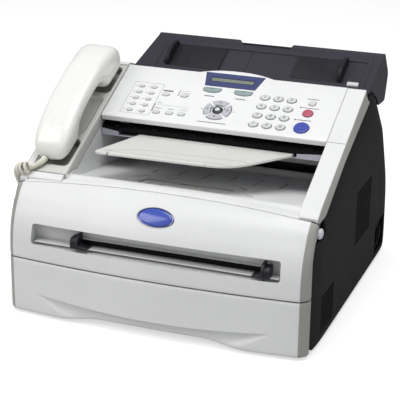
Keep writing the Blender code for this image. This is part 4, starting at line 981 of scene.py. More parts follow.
def build_handset():
    spec = [(30.8, 13.0, 6.0, 9.5), (31.6, 15.6, 4.0, 13.2), (33.6, 19.2, 2.4, 16.4), (38.0, 24.2, 1.2, 19.4),
            (45.0, 28.4, 0.6, 21.4), (52.0, 31.8, 0.5, 22.4), (60.0, 34.8, 0.5, 22.8), (66.0, 36.6, 1.4, 22.8),
            (72.0, 38.3, 6.5, 22.6), (80.0, 40.2, 15.0, 22.3), (98.0, 43.2, 21.3, 22.0), (125.0, 45.2, 23.4, 22.0),
            (146.0, 46.0, 21.5, 22.4), (157.0, 46.2, 14.5, 22.8), (163.0, 46.0, 5.5, 23.2), (168.0, 45.8, 1.2, 23.6),
            (176.0, 45.0, 0.5, 24.0), (186.0, 43.6, 0.5, 24.2), (196.0, 41.4, 0.5, 24.0), (202.5, 38.2, 1.4, 23.2),
            (206.4, 33.0, 3.0, 21.6), (207.6, 27.0, 6.0, 18.6)]
    tops = spline([(v, t, 0) for v, t, b, h in spec], 92)

    def at(v, k):
        pts = [(s[0], s[k]) for s in spec]
        for i in range(len(pts) - 1):
            if v <= pts[i + 1][0] or i == len(pts) - 2:
                x0, y0 = pts[i]
                x1, y1 = pts[i + 1]
                xm, ym = pts[max(i - 1, 0)]
                xp, yp = pts[min(i + 2, len(pts) - 1)]
                d0 = (y1 - ym) / max(1e-6, x1 - xm)
                d1 = (yp - y0) / max(1e-6, xp - x0)
                if (y1 - y0) * d0 <= 0:
                    d0 = 0.0
                if (y1 - y0) * d1 <= 0:
                    d1 = 0.0
                u = max(0.0, min(1.0, (v - x0) / (x1 - x0)))
                hh = x1 - x0
                return ((2 * u ** 3 - 3 * u * u + 1) * y0 + (u ** 3 - 2 * u * u + u) * hh * d0
                        + (-2 * u ** 3 + 3 * u * u) * y1 + (u ** 3 - u * u) * hh * d1)
        return pts[-1][1]

    m = 56
    rows = []
    for q in tops:
        v = q.x
        t, b, h = at(v, 1), at(v, 2), at(v, 3)
        mid, half = (t + b) / 2, (t - b) / 2
        loop = []
        for k in range(m):
            a = 2 * pi * (k + 0.5) / m
            ca, sa = cos(a), sin(a)
            p = 0.40 if sa > 0 else 0.34
            x = h * (abs(ca) ** p) * (1 if ca > 0 else -1)
            w = mid + half * (abs(sa) ** (0.52 if sa > 0 else 0.45)) * (1 if sa > 0 else -1)
            # crowned back with a firm edge; the flanks draw in towards the underside
            if sa > 0:
                x *= 1 - 0.10 * sa ** 4
            else:
                x *= 1 - 0.20 * min(1.0, half / 14.0) * abs(sa) ** 0.8
            loop.append((HX + x,) + vw(v, w))
        rows.append(loop)
    bm = loft(rows)
    # holes of both capsules
    cuts = []
    for v0, w0 in ((50.0, 0.0), (188.0, 0.0)):
        cuts.append(upright([(HX + a, v0 + b) for a, b in ring(40, 17.0)], -2.0, w0 + 1.1))
    bm = minus(bm, merged(cuts))
    put("handset_skin", bm, M["handset"], "handset", "handset", 50.0)
    # capsule grilles
    for v0, word in ((50.0, "mouthpiece"), (188.0, "earpiece")):
        disc = upright([(HX + a, v0 + b) for a, b in ring(48, 16.6)], 0.75, 2.2)
        disc = soften(disc, 0.35, 50, 2)
        holes = []
        for r, k in ((0.0, 1), (4.0, 6), (8.0, 12), (11.8, 18)):
            for i in range(k):
                a = 2 * pi * i / k + r
                holes.append(upright([(HX + r * cos(a) + p, v0 + r * sin(a) + q) for p, q in ring(10, 0.85)], 0.2, 1.7))
        disc = minus(disc, merged(holes))
        put("handset_" + word, disc, M["handset"], "handset")
    # thin shut line between the two shells of the handset
    rows = []
    for i in range(90):
        q = tops[1 + i]
        v = q.x
        t, b, h = at(v, 1), at(v, 2), at(v, 3)
        rows.append((v, mix(b, t, 0.44) if t - b > 8 else (t + b) / 2, h))
    for sx, word in ((1, "right"), (-1, "left")):
        loops = []
        for v, w, h in rows[4:-4]:
            x = HX + sx * (h * 0.985)
            loops.append([(x - sx * 0.5,) + vw(v, w - 0.18), (x + sx * 0.26,) + vw(v, w - 0.18),
                          (x + sx * 0.26,) + vw(v, w + 0.18), (x - sx * 0.5,) + vw(v, w + 0.18)])
        put("handset_line_" + word, loft(loops), M["cradle"], "handset", smooth=60)


def coil(path, r_coil, r_wire, pitch, n_turn=14, seg=9, lead=5.0):
    """Wire wound round a smooth path; r_coil(t) sets the coil radius along it."""
    dense = spline(path, 400)
    total = sum((b - a).length for a, b in zip(dense, dense[1:]))
    turns = total / pitch
    n = int(turns * n_turn)
    pts, side = [], None
    idx = [0.0]
    for a, b in zip(dense, dense[1:]):
        idx.append(idx[-1] + (b - a).length)
    j = 0
    for i in range(n + 1):
        s = total * i / n
        while j < len(idx) - 2 and idx[j + 1] < s:
            j += 1
        u = (s - idx[j]) / max(1e-9, idx[j + 1] - idx[j])
        p = dense[j].lerp(dense[j + 1], u)
        t = (dense[j + 1] - dense[j]).normalized()
        if side is None:
            side = t.cross(Vector((0.2, 0.3, 1.0))).normalized()
        side = (side - t * side.dot(t)).normalized()
        other = t.cross(side)
        a = 2 * pi * turns * i / n
        q = r_coil(i / n)
        pts.append(p + side * (q * cos(a)) + other * (q * sin(a)))
    return tube(pts, r_wire, seg)


def build_cord():
    # cuff at the mouth end, coil hanging over the corner, plug at the side
    start = (-156.5, 58.0, 173.5)
    cuff = spline([start, (-158.5, 53.0, 170.5), (-162.5, 48.0, 167.6), (-166.5, 44.5, 165.2)], 16)
    radii = [3.9, 4.0, 4.0, 3.9, 3.8, 3.7, 3.5, 3.4, 3.3, 3.1, 3.0, 2.9, 2.8, 2.7, 2.5, 2.3]
    put("cord_cuff", tube(cuff, radii, 20), M["cord"], "handset", smooth=60)
    path = [(-166.0, 44.9, 165.4), (-170.0, 42.2, 164.8), (-174.4, 41.6, 164.0), (-179.4, 43.4, 162.2), (-184.4, 48.4, 158.4),
            (-188.6, 56.0, 151.4), (-190.6, 64.0, 142.0), (-191.0, 73.0, 131.0), (-190.8, 77.0, 119.0), (-189.4, 75.0, 109.0),
            (-186.6, 69.6, 102.4)]

    def r(t):
        return 0.2 + 5.7 * ease(t / 0.07) * ease((1.0 - t) / 0.09)
    bm = coil(path, r, 1.85, 4.7, 22, 9)
    ob = put("handset_cord_coil", bm, M["cord"], "body", "handset_cord", 60)
    ob.parent = None
    if "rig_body" in ob:
        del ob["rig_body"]
    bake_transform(ob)
    plug = soften(box(-191.0, -178.0, 65.0, 73.2, 98.2, 106.0), 0.8, 50, 3)
    put("cord_plug", plug, M["cord"], "body")
    jack = minus(box(-183.0, -177.0, 62.4, 75.6, 96.4, 107.6), box(-184.0, -178.4, 64.6, 73.6, 97.8, 106.4))
    put("cord_jack", jack, M["black"], "body")


build_cradle()
build_handset()
build_cord()


# ------------------------------------------------------ document scanner unit
def build_scanner():
    poly = [(145.2, 181.2), (145.2, 189.6), (145.9, 190.5), (148.0, 192.2), vw(213.6, -15.5), (230.6, 181.2)]
    bm = prism_x(poly, -124.2, 155.8)
    bm = minus(bm, box(-102.4, 120.4, 140.0, 224.0, 182.6, 186.8))
    bm = minus(bm, prism_x([(196.0, 190.2), (196.0, 206.0), vw(205.0, -21.0), (240.0, 226.0),
                            (240.0, 190.2)], -112.0, 146.0))
    bm = minus(bm, prism_x([vw(160.0, -24.2), vw(160.0, -12.0), vw(176.0, -12.0),
                            vw(176.0, -24.2)], -62.0, 102.0))
    # ribbed paper path above the exit
    cuts = [prism_x([vw(126.0, -15.9), vw(126.0, -14.0), vw(156.0, -14.0), vw(156.0, -15.9)],
                    -104.0 + 15.0 * k, -92.0 + 15.0 * k) for k in range(16)]
    bm = minus(bm, merged(cuts))
    # upper face under the panel edge painted black as the shade in the gap below the panel
    put("scanner_frame_skin", bm, [M["lav"], M["black"]], "body", "scanner_frame", 30.0,
        lambda c, n: 1 if -98.0 < c.x < 150.0 and c.z > 186.5 else 0)
    # glass strip the page is read through, and the black pinch rollers with a black sheet behind them as painted shade
    # of the exit
    glass = soften(prism_x([vw(178.0, -15.3), vw(178.0, -14.6), vw(198.0, -14.6), vw(198.0, -15.3)], -88.0, 128.0), 0.2, 50, 2)
    put("reading_glass", glass, M["dark"], "body")
    # black sheet behind the exit: painted shade of the opening
    back = box(-123.9, 155.5, 152.0, 153.0, 191.0, 193.0)
    put("exit_shade_sheet", back, M["black"], "body")
    # dark rubber rollers set in matt black so they sink into the painted shade of the exit
    posts = merged([soften(box(-108.0 + 48.0 * k, -100.0 + 48.0 * k, 146.8, 150.6, 190.6, 194.4), 0.5, 40, 2) for k in range(6)])
    put("exit_pinch_rollers", posts, M["black"], "body")


def build_adf_roller():
    v = vw(168.0, -16.8)
    steps = [(-61.0, 3.0), (-50.0, 3.0)]
    for x0 in (-50.0, -2.0, 54.0):
        steps += [(x0, 3.0), (x0, 6.1), (x0 + 0.4, 6.4), (x0 + 35.6, 6.4), (x0 + 36.0, 6.1), (x0 + 36.0, 3.0)]
    steps += [(101.0, 3.0)]
    bm = turned_x(v[0], v[1], steps)
    put("adf_roller_skin", bm, [M["rubber"], M["steel"]], "adf_roller", "adf_roller", 40.0,
        lambda c, n: 0 if sqrt((c.y - v[0]) ** 2 + (c.z - v[1]) ** 2) > 3.2 else 1)


def build_support():
    front = spline([(-98.7, 71.0), (-97.6, 68.4), (-95.6, 67.0), (-92.0, 66.5), (-60.0, 67.3), (-20.0, 68.5), (20.0, 69.8), (40.0, 70.8), (52.0, 72.6),
                    (62.0, 76.6), (71.0, 82.8), (80.0, 91.5), (98.0, 116.0), (116.2, 141.0)], 60)
    poly = [(-75.7, 143.4)] + [(q.x, q.y) for q in front] + [(116.2, 143.4), (116.2, 149.0), (-75.7, 149.0)]
    bm = prism_z(poly, 183.2, 186.2)
    bm = soften(bm, 0.7, 60.0, 3)
    # embossed fold and stiffening lines, two hinge notches
    def groove(p0, p1, wide, deep=0.5, top=186.2):
        d = Vector((p1[0] - p0[0], p1[1] - p0[1])).normalized()
        nx, ny = -d.y * wide / 2, d.x * wide / 2
        q = [(p0[0] + nx, p0[1] + ny), (p0[0] - nx, p0[1] - ny), (p1[0] - nx, p1[1] - ny), (p1[0] + nx, p1[1] + ny)]
        return prism_z(q, top - deep, top + 3.0)
    cuts = [groove((-94.0, 72.6), (-52.0, 92.0), 1.0), groove((-52.0, 92.0), (72.0, 97.0), 1.0), groove((72.0, 97.0), (80.0, 92.6), 1.0),
            groove((-90.0, 75.0), (66.0, 78.4), 1.2, 0.5), groove((-78.0, 138.0), (112.0, 138.0), 1.0)]
    for x in (-82.0, 36.0):
        cuts.append(prism_z(rounded(x - 1.0, x + 1.0, 64.0, 71.5, 0.6), 180.0, 190.0))
    bm = engrave(bm, merged(cuts))
    put("document_support_skin", bm, M["flap"], "document_support", "document_support", 30.0)
    ribs = []
    for k in range(9):
        x = -64.0 + 18.0 * k
        y0 = 78.0 if x < 50 else 78.0 + (x - 50) * 1.2
        ribs.append(loft([[(x - 0.6, y, 183.3), (x + 0.6, y, 183.3), (x + 0.6, y, 183.0 - h), (x - 0.6, y, 183.0 - h)]
                          for y, h in ((y0, 0.0), (y0 + 4.0, 0.28), (138.0, 0.28), (140.0, 0.0))]))
    put("document_support_ribs", merged(ribs), M["flap"], "document_support")


def build_tray():
    def side(x_low, x_high, far):
        return prism_z([(x_low, 233.0), (x_high, 306.0), (x_high + (x_high - x_low) * 0.3, 330.0),
                        (far, 330.0), (far, 225.0), (x_low - (x_high - x_low) * 0.1, 225.0)], 190.0, 290.0)
    crest = spline([(296.0, tray_z(296.0)), (300.5, 271.5), (303.2, 273.6), (305.4, 273.5), (307.0, 271.6), (311.0, 265.6), (318.0, 255.0),
                    (322.6, 247.8), (323.6, 243.6), (322.4, 238.6), (319.0, 227.6), (315.4, 216.6)], 40)
    poly = [(233.5, 240.2)] + [(q.x, q.y) for q in crest] + [(313.6, 213.6), (309.0, 213.0), (289.0, 213.4),
                                                              (282.0, 221.0), (276.0, 226.6), (263.0, 234.6), (251.4, 240.4), (246.0, 240.4)]
    outer = prism_x(poly, -124.4, 182.4)
    outer = minus(outer, side(-124.4, -112.0, -160.0), side(178.4, 181.6, 230.0))
    inner = prism_x([(243.0, 238.0), (243.0, tray_z(243.0) - 3.6), (298.6, tray_z(298.6) - 3.6),
                     (304.4, 263.0), (319.4, 246.6), (311.2, 214.0), (311.2, 200.0), (243.0, 200.0)], -121.4, 174.6)
    inner = minus(inner, side(-121.4, -109.0, -160.0), side(174.6, 166.0, 210.0))
    bm = minus(outer, inner)
    lip = 1.8
    recess = []
    for h, g in ((-lip, 0.0), (-0.2, 0.0), (0.4, 0.7), (9.0, 0.9)):
        recess.append([(x, y, tray_z(y) + h) for x, y in rounded(-88.0 - g, 166.0 + g, 248.5 - g, 287.5 + g, 5.0, 6)])
    bm = minus(bm, loft(recess))
    notch = [[(x, y, z) for x, z in ((0.0 - s, 268.6), (3.0 - s, 266.8 ), (59.0 + s, 266.8), (62.0 + s, 268.6), (66.0 + s, 275.0), (68.0 + s, 281.0), (-6.0 - s, 281.0), (-4.0 - s, 275.0))]
             for y, s in ((296.5, 0.0), (303.0, 0.4), (308.5, 2.4))]
    bm = minus(bm, loft(notch))

    def line(x0, y0, x1, y1, wide, deep=0.7):
        d = Vector((x1 - x0, y1 - y0)).normalized()
        nx, ny = -d.y * wide / 2, d.x * wide / 2
        q = [(x0 + nx, y0 + ny), (x0 - nx, y0 - ny), (x1 - nx, y1 - ny), (x1 + nx, y1 + ny)]
        return loft([[(x, y, tray_z(y) - lip - deep) for x, y in q], [(x, y, tray_z(y) + 3.0) for x, y in q]])
    cuts = [line(19.0, 250.0, 19.0, 286.5, 1.0), line(-12.0, 250.0, -12.0, 286.5, 0.7, 0.4), line(77.0, 250.0, 77.0, 286.5, 0.7, 0.4),
            line(-60.0, 268.0, -16.0, 268.0, 1.8, 1.2), line(83.0, 268.0, 128.0, 268.0, 1.8, 1.2), line(116.7, 253.0, 116.7, 283.0, 0.8, 0.4)]
    for x in (-96.0, 171.0):
        cuts.append(loft([[(xx, y, tray_z(y) - 0.7) for xx, y in rounded(x - 0.5, x + 0.5, 244.0, 292.0, 0.4)],
                          [(xx, y, tray_z(y) + 3.0) for xx, y in rounded(x - 0.5, x + 0.5, 244.0, 292.0, 0.4)]]))
    bm = engrave(bm, merged(cuts))
    # clearance for the tail of the panel hood as the panel swings up
    bm = minus(bm, prism_x([(235.47 + p, 245.39 + q) for p, q in ring(40, 7.1)], -31.4, 67.7))
    put("document_tray_skin", bm, M["tray"], "body", "document_tray", 32.0)
    # ribs on the sloping rear wall
    ribs = []
    for k in range(12):
        x = -92.0 + 21.6 * k
        if 0 < x < 62:
            continue
        ribs.append(prism_x([(309.2, 269.2), (322.3, 248.9), (321.6, 246.9), (308.0, 268.0)], x - 0.6, x + 0.6))
    put("document_tray_ribs", merged(ribs), M["tray"], "body")
    tab_ = soften(prism_x([(244.6, tray_z(244.6) - 0.5), (244.6, tray_z(244.6) + 2.0), (249.2, tray_z(249.2) + 2.2), (249.2, tray_z(249.2) - 0.5)], 150.0, 164.0), 0.5, 40, 2)
    put("sheet_sensor_tab", tab_, M["key"], "body")


def build_adf_guides():
    for side, word in ((-1, "left"), (1, "right")):
        fence = PATH_X + 9.0 + side * 108.0
        inner = -14.0 if side < 0 else 79.0
        a, b = sorted((fence + side * 5.0, inner))
        y0, y1 = 249.0, 287.0
        base = [[(x, y, tray_z(y) + h) for x, y in rounded(a, b, y0, y1, 2.5, 4)] for h in (-1.4, -0.1)]
        base.append([(x, y, tray_z(y) + 0.2) for x, y in rounded(a + 0.3, b - 0.3, y0 + 0.3, y1 - 0.3, 2.4, 4)])
        bm = loft(base)
        # fence: high shouldered wall with a long swept foot on its outer side
        prof = spline([(y0 - 0.4, -0.6), (y0 - 1.4, 6.0), (y0 + 0.6, 11.4), (y0 + 4.0, 13.4), (y0 + 12.0, 13.4), (y1 - 14.0, 11.8),
                       (y1 - 5.0, 8.0), (y1 - 1.2, 3.4), (y1, -0.6)], 30)
        fin = []
        for dx, k in ((0.0, 0.97), (0.5, 1.0), (4.2, 1.0), (5.0, 0.95)):
            fin.append([(fence + side * dx, q.x if k == 1.0 else mix(268.0, q.x, k), tray_z(q.x) + (q.y * k if q.y > 0 else q.y)) for q in prof])
        bm = plus(bm, loft(fin))
        put("adf_guide_" + word + "_skin", bm, M["tray_dk"], "adf_guide_" + word, "adf_guide_" + word,
            32.0)
        grip = merged([soften(prism_x([(252.0 + 4.0 * k, tray_z(252.0 + 4.0 * k) + 0.1), (253.0 + 4.0 * k, tray_z(253.0 + 4.0 * k) + 0.9),
                                       (254.4 + 4.0 * k, tray_z(254.4 + 4.0 * k) + 0.9), (255.4 + 4.0 * k, tray_z(255.4 + 4.0 * k) + 0.1)],
                                      *sorted((fence - side * 6.0, fence - side * 20.0))), 0.15, 20, 1) for k in range(8)])
        put("adf_guide_" + word + "_grip", grip, M["tray_dk"], "adf_guide_" + word)


build_scanner()
build_adf_roller()
build_support()
build_tray()
build_adf_guides()


# --------------------------------------------------------------- control panel
NUMBERS = {}
for row, names in enumerate((("key_1", "key_2", "key_3"), ("key_4", "key_5", "key_6"),
                             ("key_7", "key_8", "key_9"), ("key_star", "key_0", "key_hash"))):
    for col, name in enumerate(names):
        NUMBERS[name] = (80.36 + (col - 1) * 16.4, 158.5 + (1.5 - row) * 16.0)
ROUND = {"start_key": (121.1, 137.8, 8.8), "stop_key": (121.6, 163.5, 6.0),
         "report_key": (122.2, 181.6, 4.2), "ok_key": (14.3, 151.4, 6.0)}
TABS = {"fax_key": (-4.2, 185.4), "copy_key": (35.2, 185.4)}
NAV = {"nav_up": 90.0, "nav_left": 180.0, "nav_down": 270.0, "nav_right": 0.0}
ONE_X, ONE_V = (-92.5, -76.5), [134.9 + 11.1 * i for i in range(5)]
FUNC = [(-57.7, 168.8), (-34.2, 170.0), (-58.5, 136.1), (-42.0, 136.6), (-26.8, 137.0)]


def oval(cx, cv, rx, rv, n=40):
    return [(cx + rx * a, cv + rv * b) for a, b in ring(n, 1.0)]


def arc_outline(angle, r0, r1, half, grow, n=14):
    cx, cv = ROUND["ok_key"][:2]
    a0, a1 = radians(angle - half), radians(angle + half)
    pts = [(cx + (r1 + grow) * cos(a0 + (a1 - a0) * i / n), cv + (r1 + grow) * sin(a0 + (a1 - a0) * i / n)) for i in range(n + 1)]
    pts += [(cx + (r0 - grow) * cos(a1 + (a0 - a1) * i / n), cv + (r0 - grow) * sin(a1 + (a0 - a1) * i / n)) for i in range(n + 1)]
    return pts


def tab_outline(cx, cv, g, n=16):
    pts = [(cx - 11.0 - g, cv + 4.0 + g), (cx - 11.0 - g, cv + 1.2)]
    for i in range(1, n):
        a = pi * i / n
        pts.append((cx - (11.0 + g) * cos(a), cv + 1.2 - (5.2 + g) * sin(a) ** 0.8))
    return pts + [(cx + 11.0 + g, cv + 1.2), (cx + 11.0 + g, cv + 4.0 + g)]


def build_panel():
    front = []
    for i in range(41):
        x = mix(64.0, -30.0, i / 40.0)
        t = (x - 17.0) / 47.0
        front.append((x, PANEL_V1 + 7.6 * (1 - abs(t) ** 2.4)))
    r = 1.6
    edge = [(PANEL_L, PANEL_V0 + r), (PANEL_L + 0.5, PANEL_V0 + 0.5), (PANEL_L + r, PANEL_V0), (PANEL_R - r, PANEL_V0),
            (PANEL_R - 0.5, PANEL_V0 + 0.5), (PANEL_R, PANEL_V0 + r), (PANEL_R, PANEL_V1)] + front + [(PANEL_L, PANEL_V1)]
    cx, cv = (PANEL_L + PANEL_R) / 2, (PANEL_V0 + PANEL_V1) / 2

    def inset(d):
        out = []
        for x, v in edge:
            out.append((x + (d if x < cx - 120 else -d if x > cx + 120 else 0), v + (d if v < cv else -d)))
        return out
    bm = loft([[(x,) + vw(v, w) for x, v in inset(d)] for w, d in ((-7.2, 0.0), (-1.5, 0.0), (-0.75, 0.2), (-0.25, 0.65), (0.0, 1.3))])
    hollow = [(PANEL_L + 2.5, PANEL_V0 + 2.5), (PANEL_R - 2.5, PANEL_V0 + 2.5),
              (PANEL_R - 2.5, PANEL_V1 - 2.5), (PANEL_L + 2.5, PANEL_V1 - 2.5)]
    bm = minus(bm, upright(hollow, -12.0, -2.5))
    seat = upright([(-23.6, 216.6), (56.0, 216.6), (50.0, 190.6), (-18.0, 190.6)], -5.0, -2.0)
    bm = plus(bm, seat)
    window = [(-21.9, 218.0), (54.3, 218.0), (47.85, 193.0), (-15.85, 193.0)]
    bm = minus(bm, upright(window, -2.2, 3.0))
    g = 0.42

    def hole(outline, grow=0.5):
        return loft([[(x,) + vw(v, w) for x, v in outline(k)] for w, k in ((-6.0, g), (-0.5, g), (0.02, g + grow), (2.0, g + grow * 4))])
    holes = [hole(lambda k, x=x, v=v: oval(x, v, 5.5 + k, 4.5 + k)) for x, v in NUMBERS.values()]
    holes += [hole(lambda k, x=x, v=v, r=r: oval(x, v, r + k, r + k)) for x, v, r in ROUND.values()]
    holes += [hole(lambda k, x=x, v=v: tab_outline(x, v, k), 0.25) for x, v in TABS.values()]
    holes += [hole(lambda k, a=a: arc_outline(a, 8.6, 16.6, 38.0, k), 0.3) for a in NAV.values()]
    holes += [hole(lambda k, x=x, v=v: oval(x, v, 3.4 + k, 2.4 + k, 28), 0.3) for x in ONE_X for v in ONE_V]
    holes += [hole(lambda k, x=x, v=v: oval(x, v, 4.6 + k, 3.0 + k, 32), 0.3) for x, v in FUNC]
    for h in holes:
        bm = minus(bm, h)
    # fine shut line framing the one-touch field
    frame_ = minus(upright(rounded(-103.5, -65.5, 129.0, 186.5, 1.2), -0.16, 1.0), upright(rounded(-103.0, -66.0, 129.5, 186.0, 0.8), -1.0, 2.0))
    bm = minus(bm, frame_)
    put("control_panel_skin", bm, M["panel"], "control_panel", "control_panel", 30.0)
    # stiffening ribs under the fascia
    ribs = [slab(-121.0 + 45.5 * k, -119.8 + 45.5 * k, 123.0, 186.0, -6.4, -2.4) for k in (0, 1, 6)]
    put("panel_ribs", merged(ribs), M["panel"], "control_panel")
    # pinch rollers of the feeder hang under the panel
    rolls = []
    for x in (-44.0, 4.0, 60.0, 90.0):
        yy, zz = vw(187.5, -5.6)
        rolls.append(turned_x(yy, zz, [(x - 7.0, 1.2), (x - 5.0, 1.2), (x - 5.0, 2.2), (x + 5.0, 2.2), (x + 5.0, 1.2), (x + 7.0, 1.2)], 24))
    put("panel_pinch_rollers", merged(rolls), M["rubber"], "control_panel")


def build_lcd():
    outline = [(-21.4, 217.6), (53.8, 217.6), (47.5, 193.4), (-15.5, 193.4)]

    def shape(k):
        cx, cv = 16.0, 205.0
        return [(cx + (x - cx) * k, cv + (v - cv) * k) for x, v in outline]
    # rounded lower corners
    def rounded_poly(k, r=2.4, n=5):
        pts = shape(k)
        out = []
        for i, p in enumerate(pts):
            a, b = Vector(pts[i - 1]) - Vector(p), Vector(pts[(i + 1) % 4]) - Vector(p)
            a.normalize(); b.normalize()
            p0, p1 = Vector(p) + a * r, Vector(p) + b * r
            for j in range(n + 1):
                t = j / n
                out.append(tuple((p0 * (1 - t) ** 2 + Vector(p) * 2 * t * (1 - t) + p1 * t ** 2)))
        return out
    bm = loft([[(x,) + vw(v, w) for x, v in rounded_poly(k)] for w, k in ((-1.8, 1.0), (0.05, 1.0), (0.35, 0.993), (0.5, 0.978))])
    strip = upright(rounded(-11.2, 42.5, 202.4, 208.6, 0.8), 0.1, 2.0)
    bm = minus(bm, strip)
    put("lcd_window_skin", bm, M["bezel"], "control_panel", "lcd_window", 30.0)
    put("lcd_strip", upright(rounded(-11.0, 42.3, 202.6, 208.4, 0.7), -0.2, 0.16), M["lcd"], "control_panel")
    rim = minus(upright(rounded(-12.3, 43.6, 201.3, 209.7, 1.4), 0.3, 0.58), upright(rounded(-11.3, 42.6, 202.3, 208.7, 0.8), 0.0, 2.0))
    put("lcd_rim", rim, M["dark"], "control_panel")


def glyph(text, size, name):
    cu = bpy.data.curves.new(name, 'FONT')
    cu.body = text
    cu.size = size
    cu.align_x = 'CENTER'
    cu.align_y = 'CENTER'
    cu.resolution_u = 3
    ob = bpy.data.objects.new(name, cu)
    bpy.context.scene.collection.objects.link(ob)
    mesh = bpy.data.meshes.new_from_object(ob.evaluated_get(bpy.context.evaluated_depsgraph_get()))
    bm = bmesh.new()
    bm.from_mesh(mesh)
    bpy.data.objects.remove(ob, do_unlink=True)
    bpy.data.curves.remove(cu)
    bpy.data.meshes.remove(mesh)
    return bm


def print_on(bm, x, v, w, thick=0.03):
    """Lays a flat mark in the sloped plane and gives it a little thickness."""
    for p in bm.verts:
        y, z = vw(v + p.co.y, w)
        p.co = Vector((x + p.co.x, y, z))
    faces = list(bm.faces)
    if faces:
        out = bmesh.ops.extrude_face_region(bm, geom=faces)
        up = Vector((0, -S, C)) * thick
        for g in out["geom"]:
            if isinstance(g, bmesh.types.BMVert):
                g.co += up
        bmesh.ops.recalc_face_normals(bm, faces=bm.faces)
    return bm


def flat(poly):
    bm = bmesh.new()
    bm.faces.new([bm.verts.new((x, v, 0.0)) for x, v in poly])
    return bm


def cap(name, body, outline, mat, w_top, dish=0.0, crown=0.9, rim=True, flange=0.9, label=None, size=4.6, ink="ink", steps=7, slot=None):
    """Key cap: retaining flange, straight wall, rolled edge, shallow crown."""
    pts0 = outline(0.0)
    cx = sum(p[0] for p in pts0) / len(pts0)
    cv = sum(p[1] for p in pts0) / len(pts0)

    def scaled(k):
        return [(cx + (x - cx) * k, cv + (v - cv) * k) for x, v in pts0]
    wide = max(p[0] for p in pts0) - cx
    rows = [(scaled(1.0 + flange / wide), -5.0), (scaled(1.0 + flange / wide), -3.6), (pts0, -3.6), (pts0, w_top - crown)]
    for i in range(1, steps):
        a = pi / 2 * i / steps
        rows.append((scaled(1 - 0.13 * (1 - cos(a))), w_top - crown + crown * 0.85 * sin(a)))
    for k, lift in ((0.78, 0.92), (0.55, 0.97), (0.3, 1.0), (0.04, 1.0)):
        rows.append((scaled(k), w_top - crown + crown * lift - dish * (1 - k)))
    bm = loft([[(x,) + vw(v, w) for x, v in p] for p, w in rows])
    put(name + "_cap", bm, M[mat], body, name, 50.0)
    if label:
        mark = print_on(glyph(label, size, "mark"), cx, cv + 0.1, w_top + 0.0)
        put(name + "_mark", mark, M[ink], body, smooth=0)


def build_keys():
    digits = {"key_1": "1", "key_2": "2", "key_3": "3", "key_4": "4", "key_5": "5", "key_6": "6",
              "key_7": "7", "key_8": "8", "key_9": "9", "key_star": "*", "key_0": "0", "key_hash": "#"}
    key_gap_rings = []
    for name, (x, v) in NUMBERS.items():
        cap(name, name, lambda k, x=x, v=v: oval(x, v, 5.5 + k, 4.5 + k), "key", 1.7, label=digits[name], size=6.2)
        # dark ring filling the gap round each key: painted shade
        key_gap_rings.append(minus(upright(oval(x, v, 6.35, 5.35), -0.06, 0.035), upright(oval(x, v, 5.95, 4.95), -1.0, 1.0)))
    for name, mat, top in (("start_key", "blue", 2.0), ("stop_key", "rose", 1.9), ("report_key", "key", 1.6), ("ok_key", "dark", 1.7)):
        x, v, r = ROUND[name]
        cap(name, name, lambda k, x=x, v=v, r=r: oval(x, v, r + k, r + k, 56), mat, top, crown=1.0, flange=0.8)
    x, v, r = ROUND["ok_key"]
    put("ok_key_inlay", upright(oval(x, v, 3.1, 3.1), 1.55, 1.76), M["key"], "ok_key")
    for name, (x, v) in TABS.items():
        cap(name, name, lambda k, x=x, v=v: tab_outline(x, v, k), "tab", 1.5, crown=0.7, flange=0.5)
        lamp = upright(rounded(x - 2.6, x + 2.6, v + 1.2, v + 2.6, 0.6), 1.3, 1.62)
        put(name + "_lamp", lamp, M["green"], name)
    for name, a in NAV.items():
        cap(name, name, lambda k, a=a: arc_outline(a, 8.6, 16.6, 38.0, k), "nav", 1.5, crown=0.6, flange=0.0)
        ca, sa = cos(radians(a)), sin(radians(a))
        cx, cv = ROUND["ok_key"][:2]
        px, pv = cx + 12.6 * ca, cv + 12.6 * sa
        arrow = flat([(px + 2.0 * ca, pv + 2.0 * sa), (px - 1.1 * ca - 1.5 * sa, pv - 1.1 * sa + 1.5 * ca),
                      (px - 1.1 * ca + 1.5 * sa, pv - 1.1 * sa - 1.5 * ca)])
        put(name + "_arrow", print_on(arrow, 0, 0, 1.47, 0.05), M["ink"], name, smooth=0)
        # dark curved ring in the gap round the segment: painted shade
        key_gap_rings.append(minus(upright(arc_outline(a, 8.6, 16.6, 38.0, 0.95), -0.06, 0.03), upright(arc_outline(a, 8.6, 16.6, 38.0, 0.6), -1.0, 1.0)))
    put("key_gap_shade_rings", merged(key_gap_rings), M["keyrim"], "control_panel", smooth=0)

    # the two mouldings with several caps on one web
    for name, spots, rx, rv, top in (("one_touch_keys", [(x, v) for x in ONE_X for v in ONE_V], 3.4, 2.4, 1.4),
                                     ("function_keys", FUNC, 4.6, 3.0, 1.5)):
        xs, vs = [s[0] for s in spots], [s[1] for s in spots]
        parts = [slab(min(xs) - rx - 1.0, max(xs) + rx + 1.0, min(vs) - rv - 1.0, max(vs) + rv + 1.0, -5.0, -3.7)]
        for x, v in spots:
            rows = [(1.0, -4.0), (1.0, top - 0.7)]
            for i in range(1, 6):
                a = pi / 2 * i / 5
                rows.append((1 - 0.16 * (1 - cos(a)), top - 0.7 + 0.6 * sin(a)))
            rows += [(0.5, top - 0.02), (0.05, top)]
            parts.append(loft([[(px,) + vw(pv, w) for px, pv in oval(x, v, rx * k, rv * k, 32)] for k, w in rows]))
        bm = merged(parts)
        put(name + "_skin", bm, M["key"], name, name, 50.0)


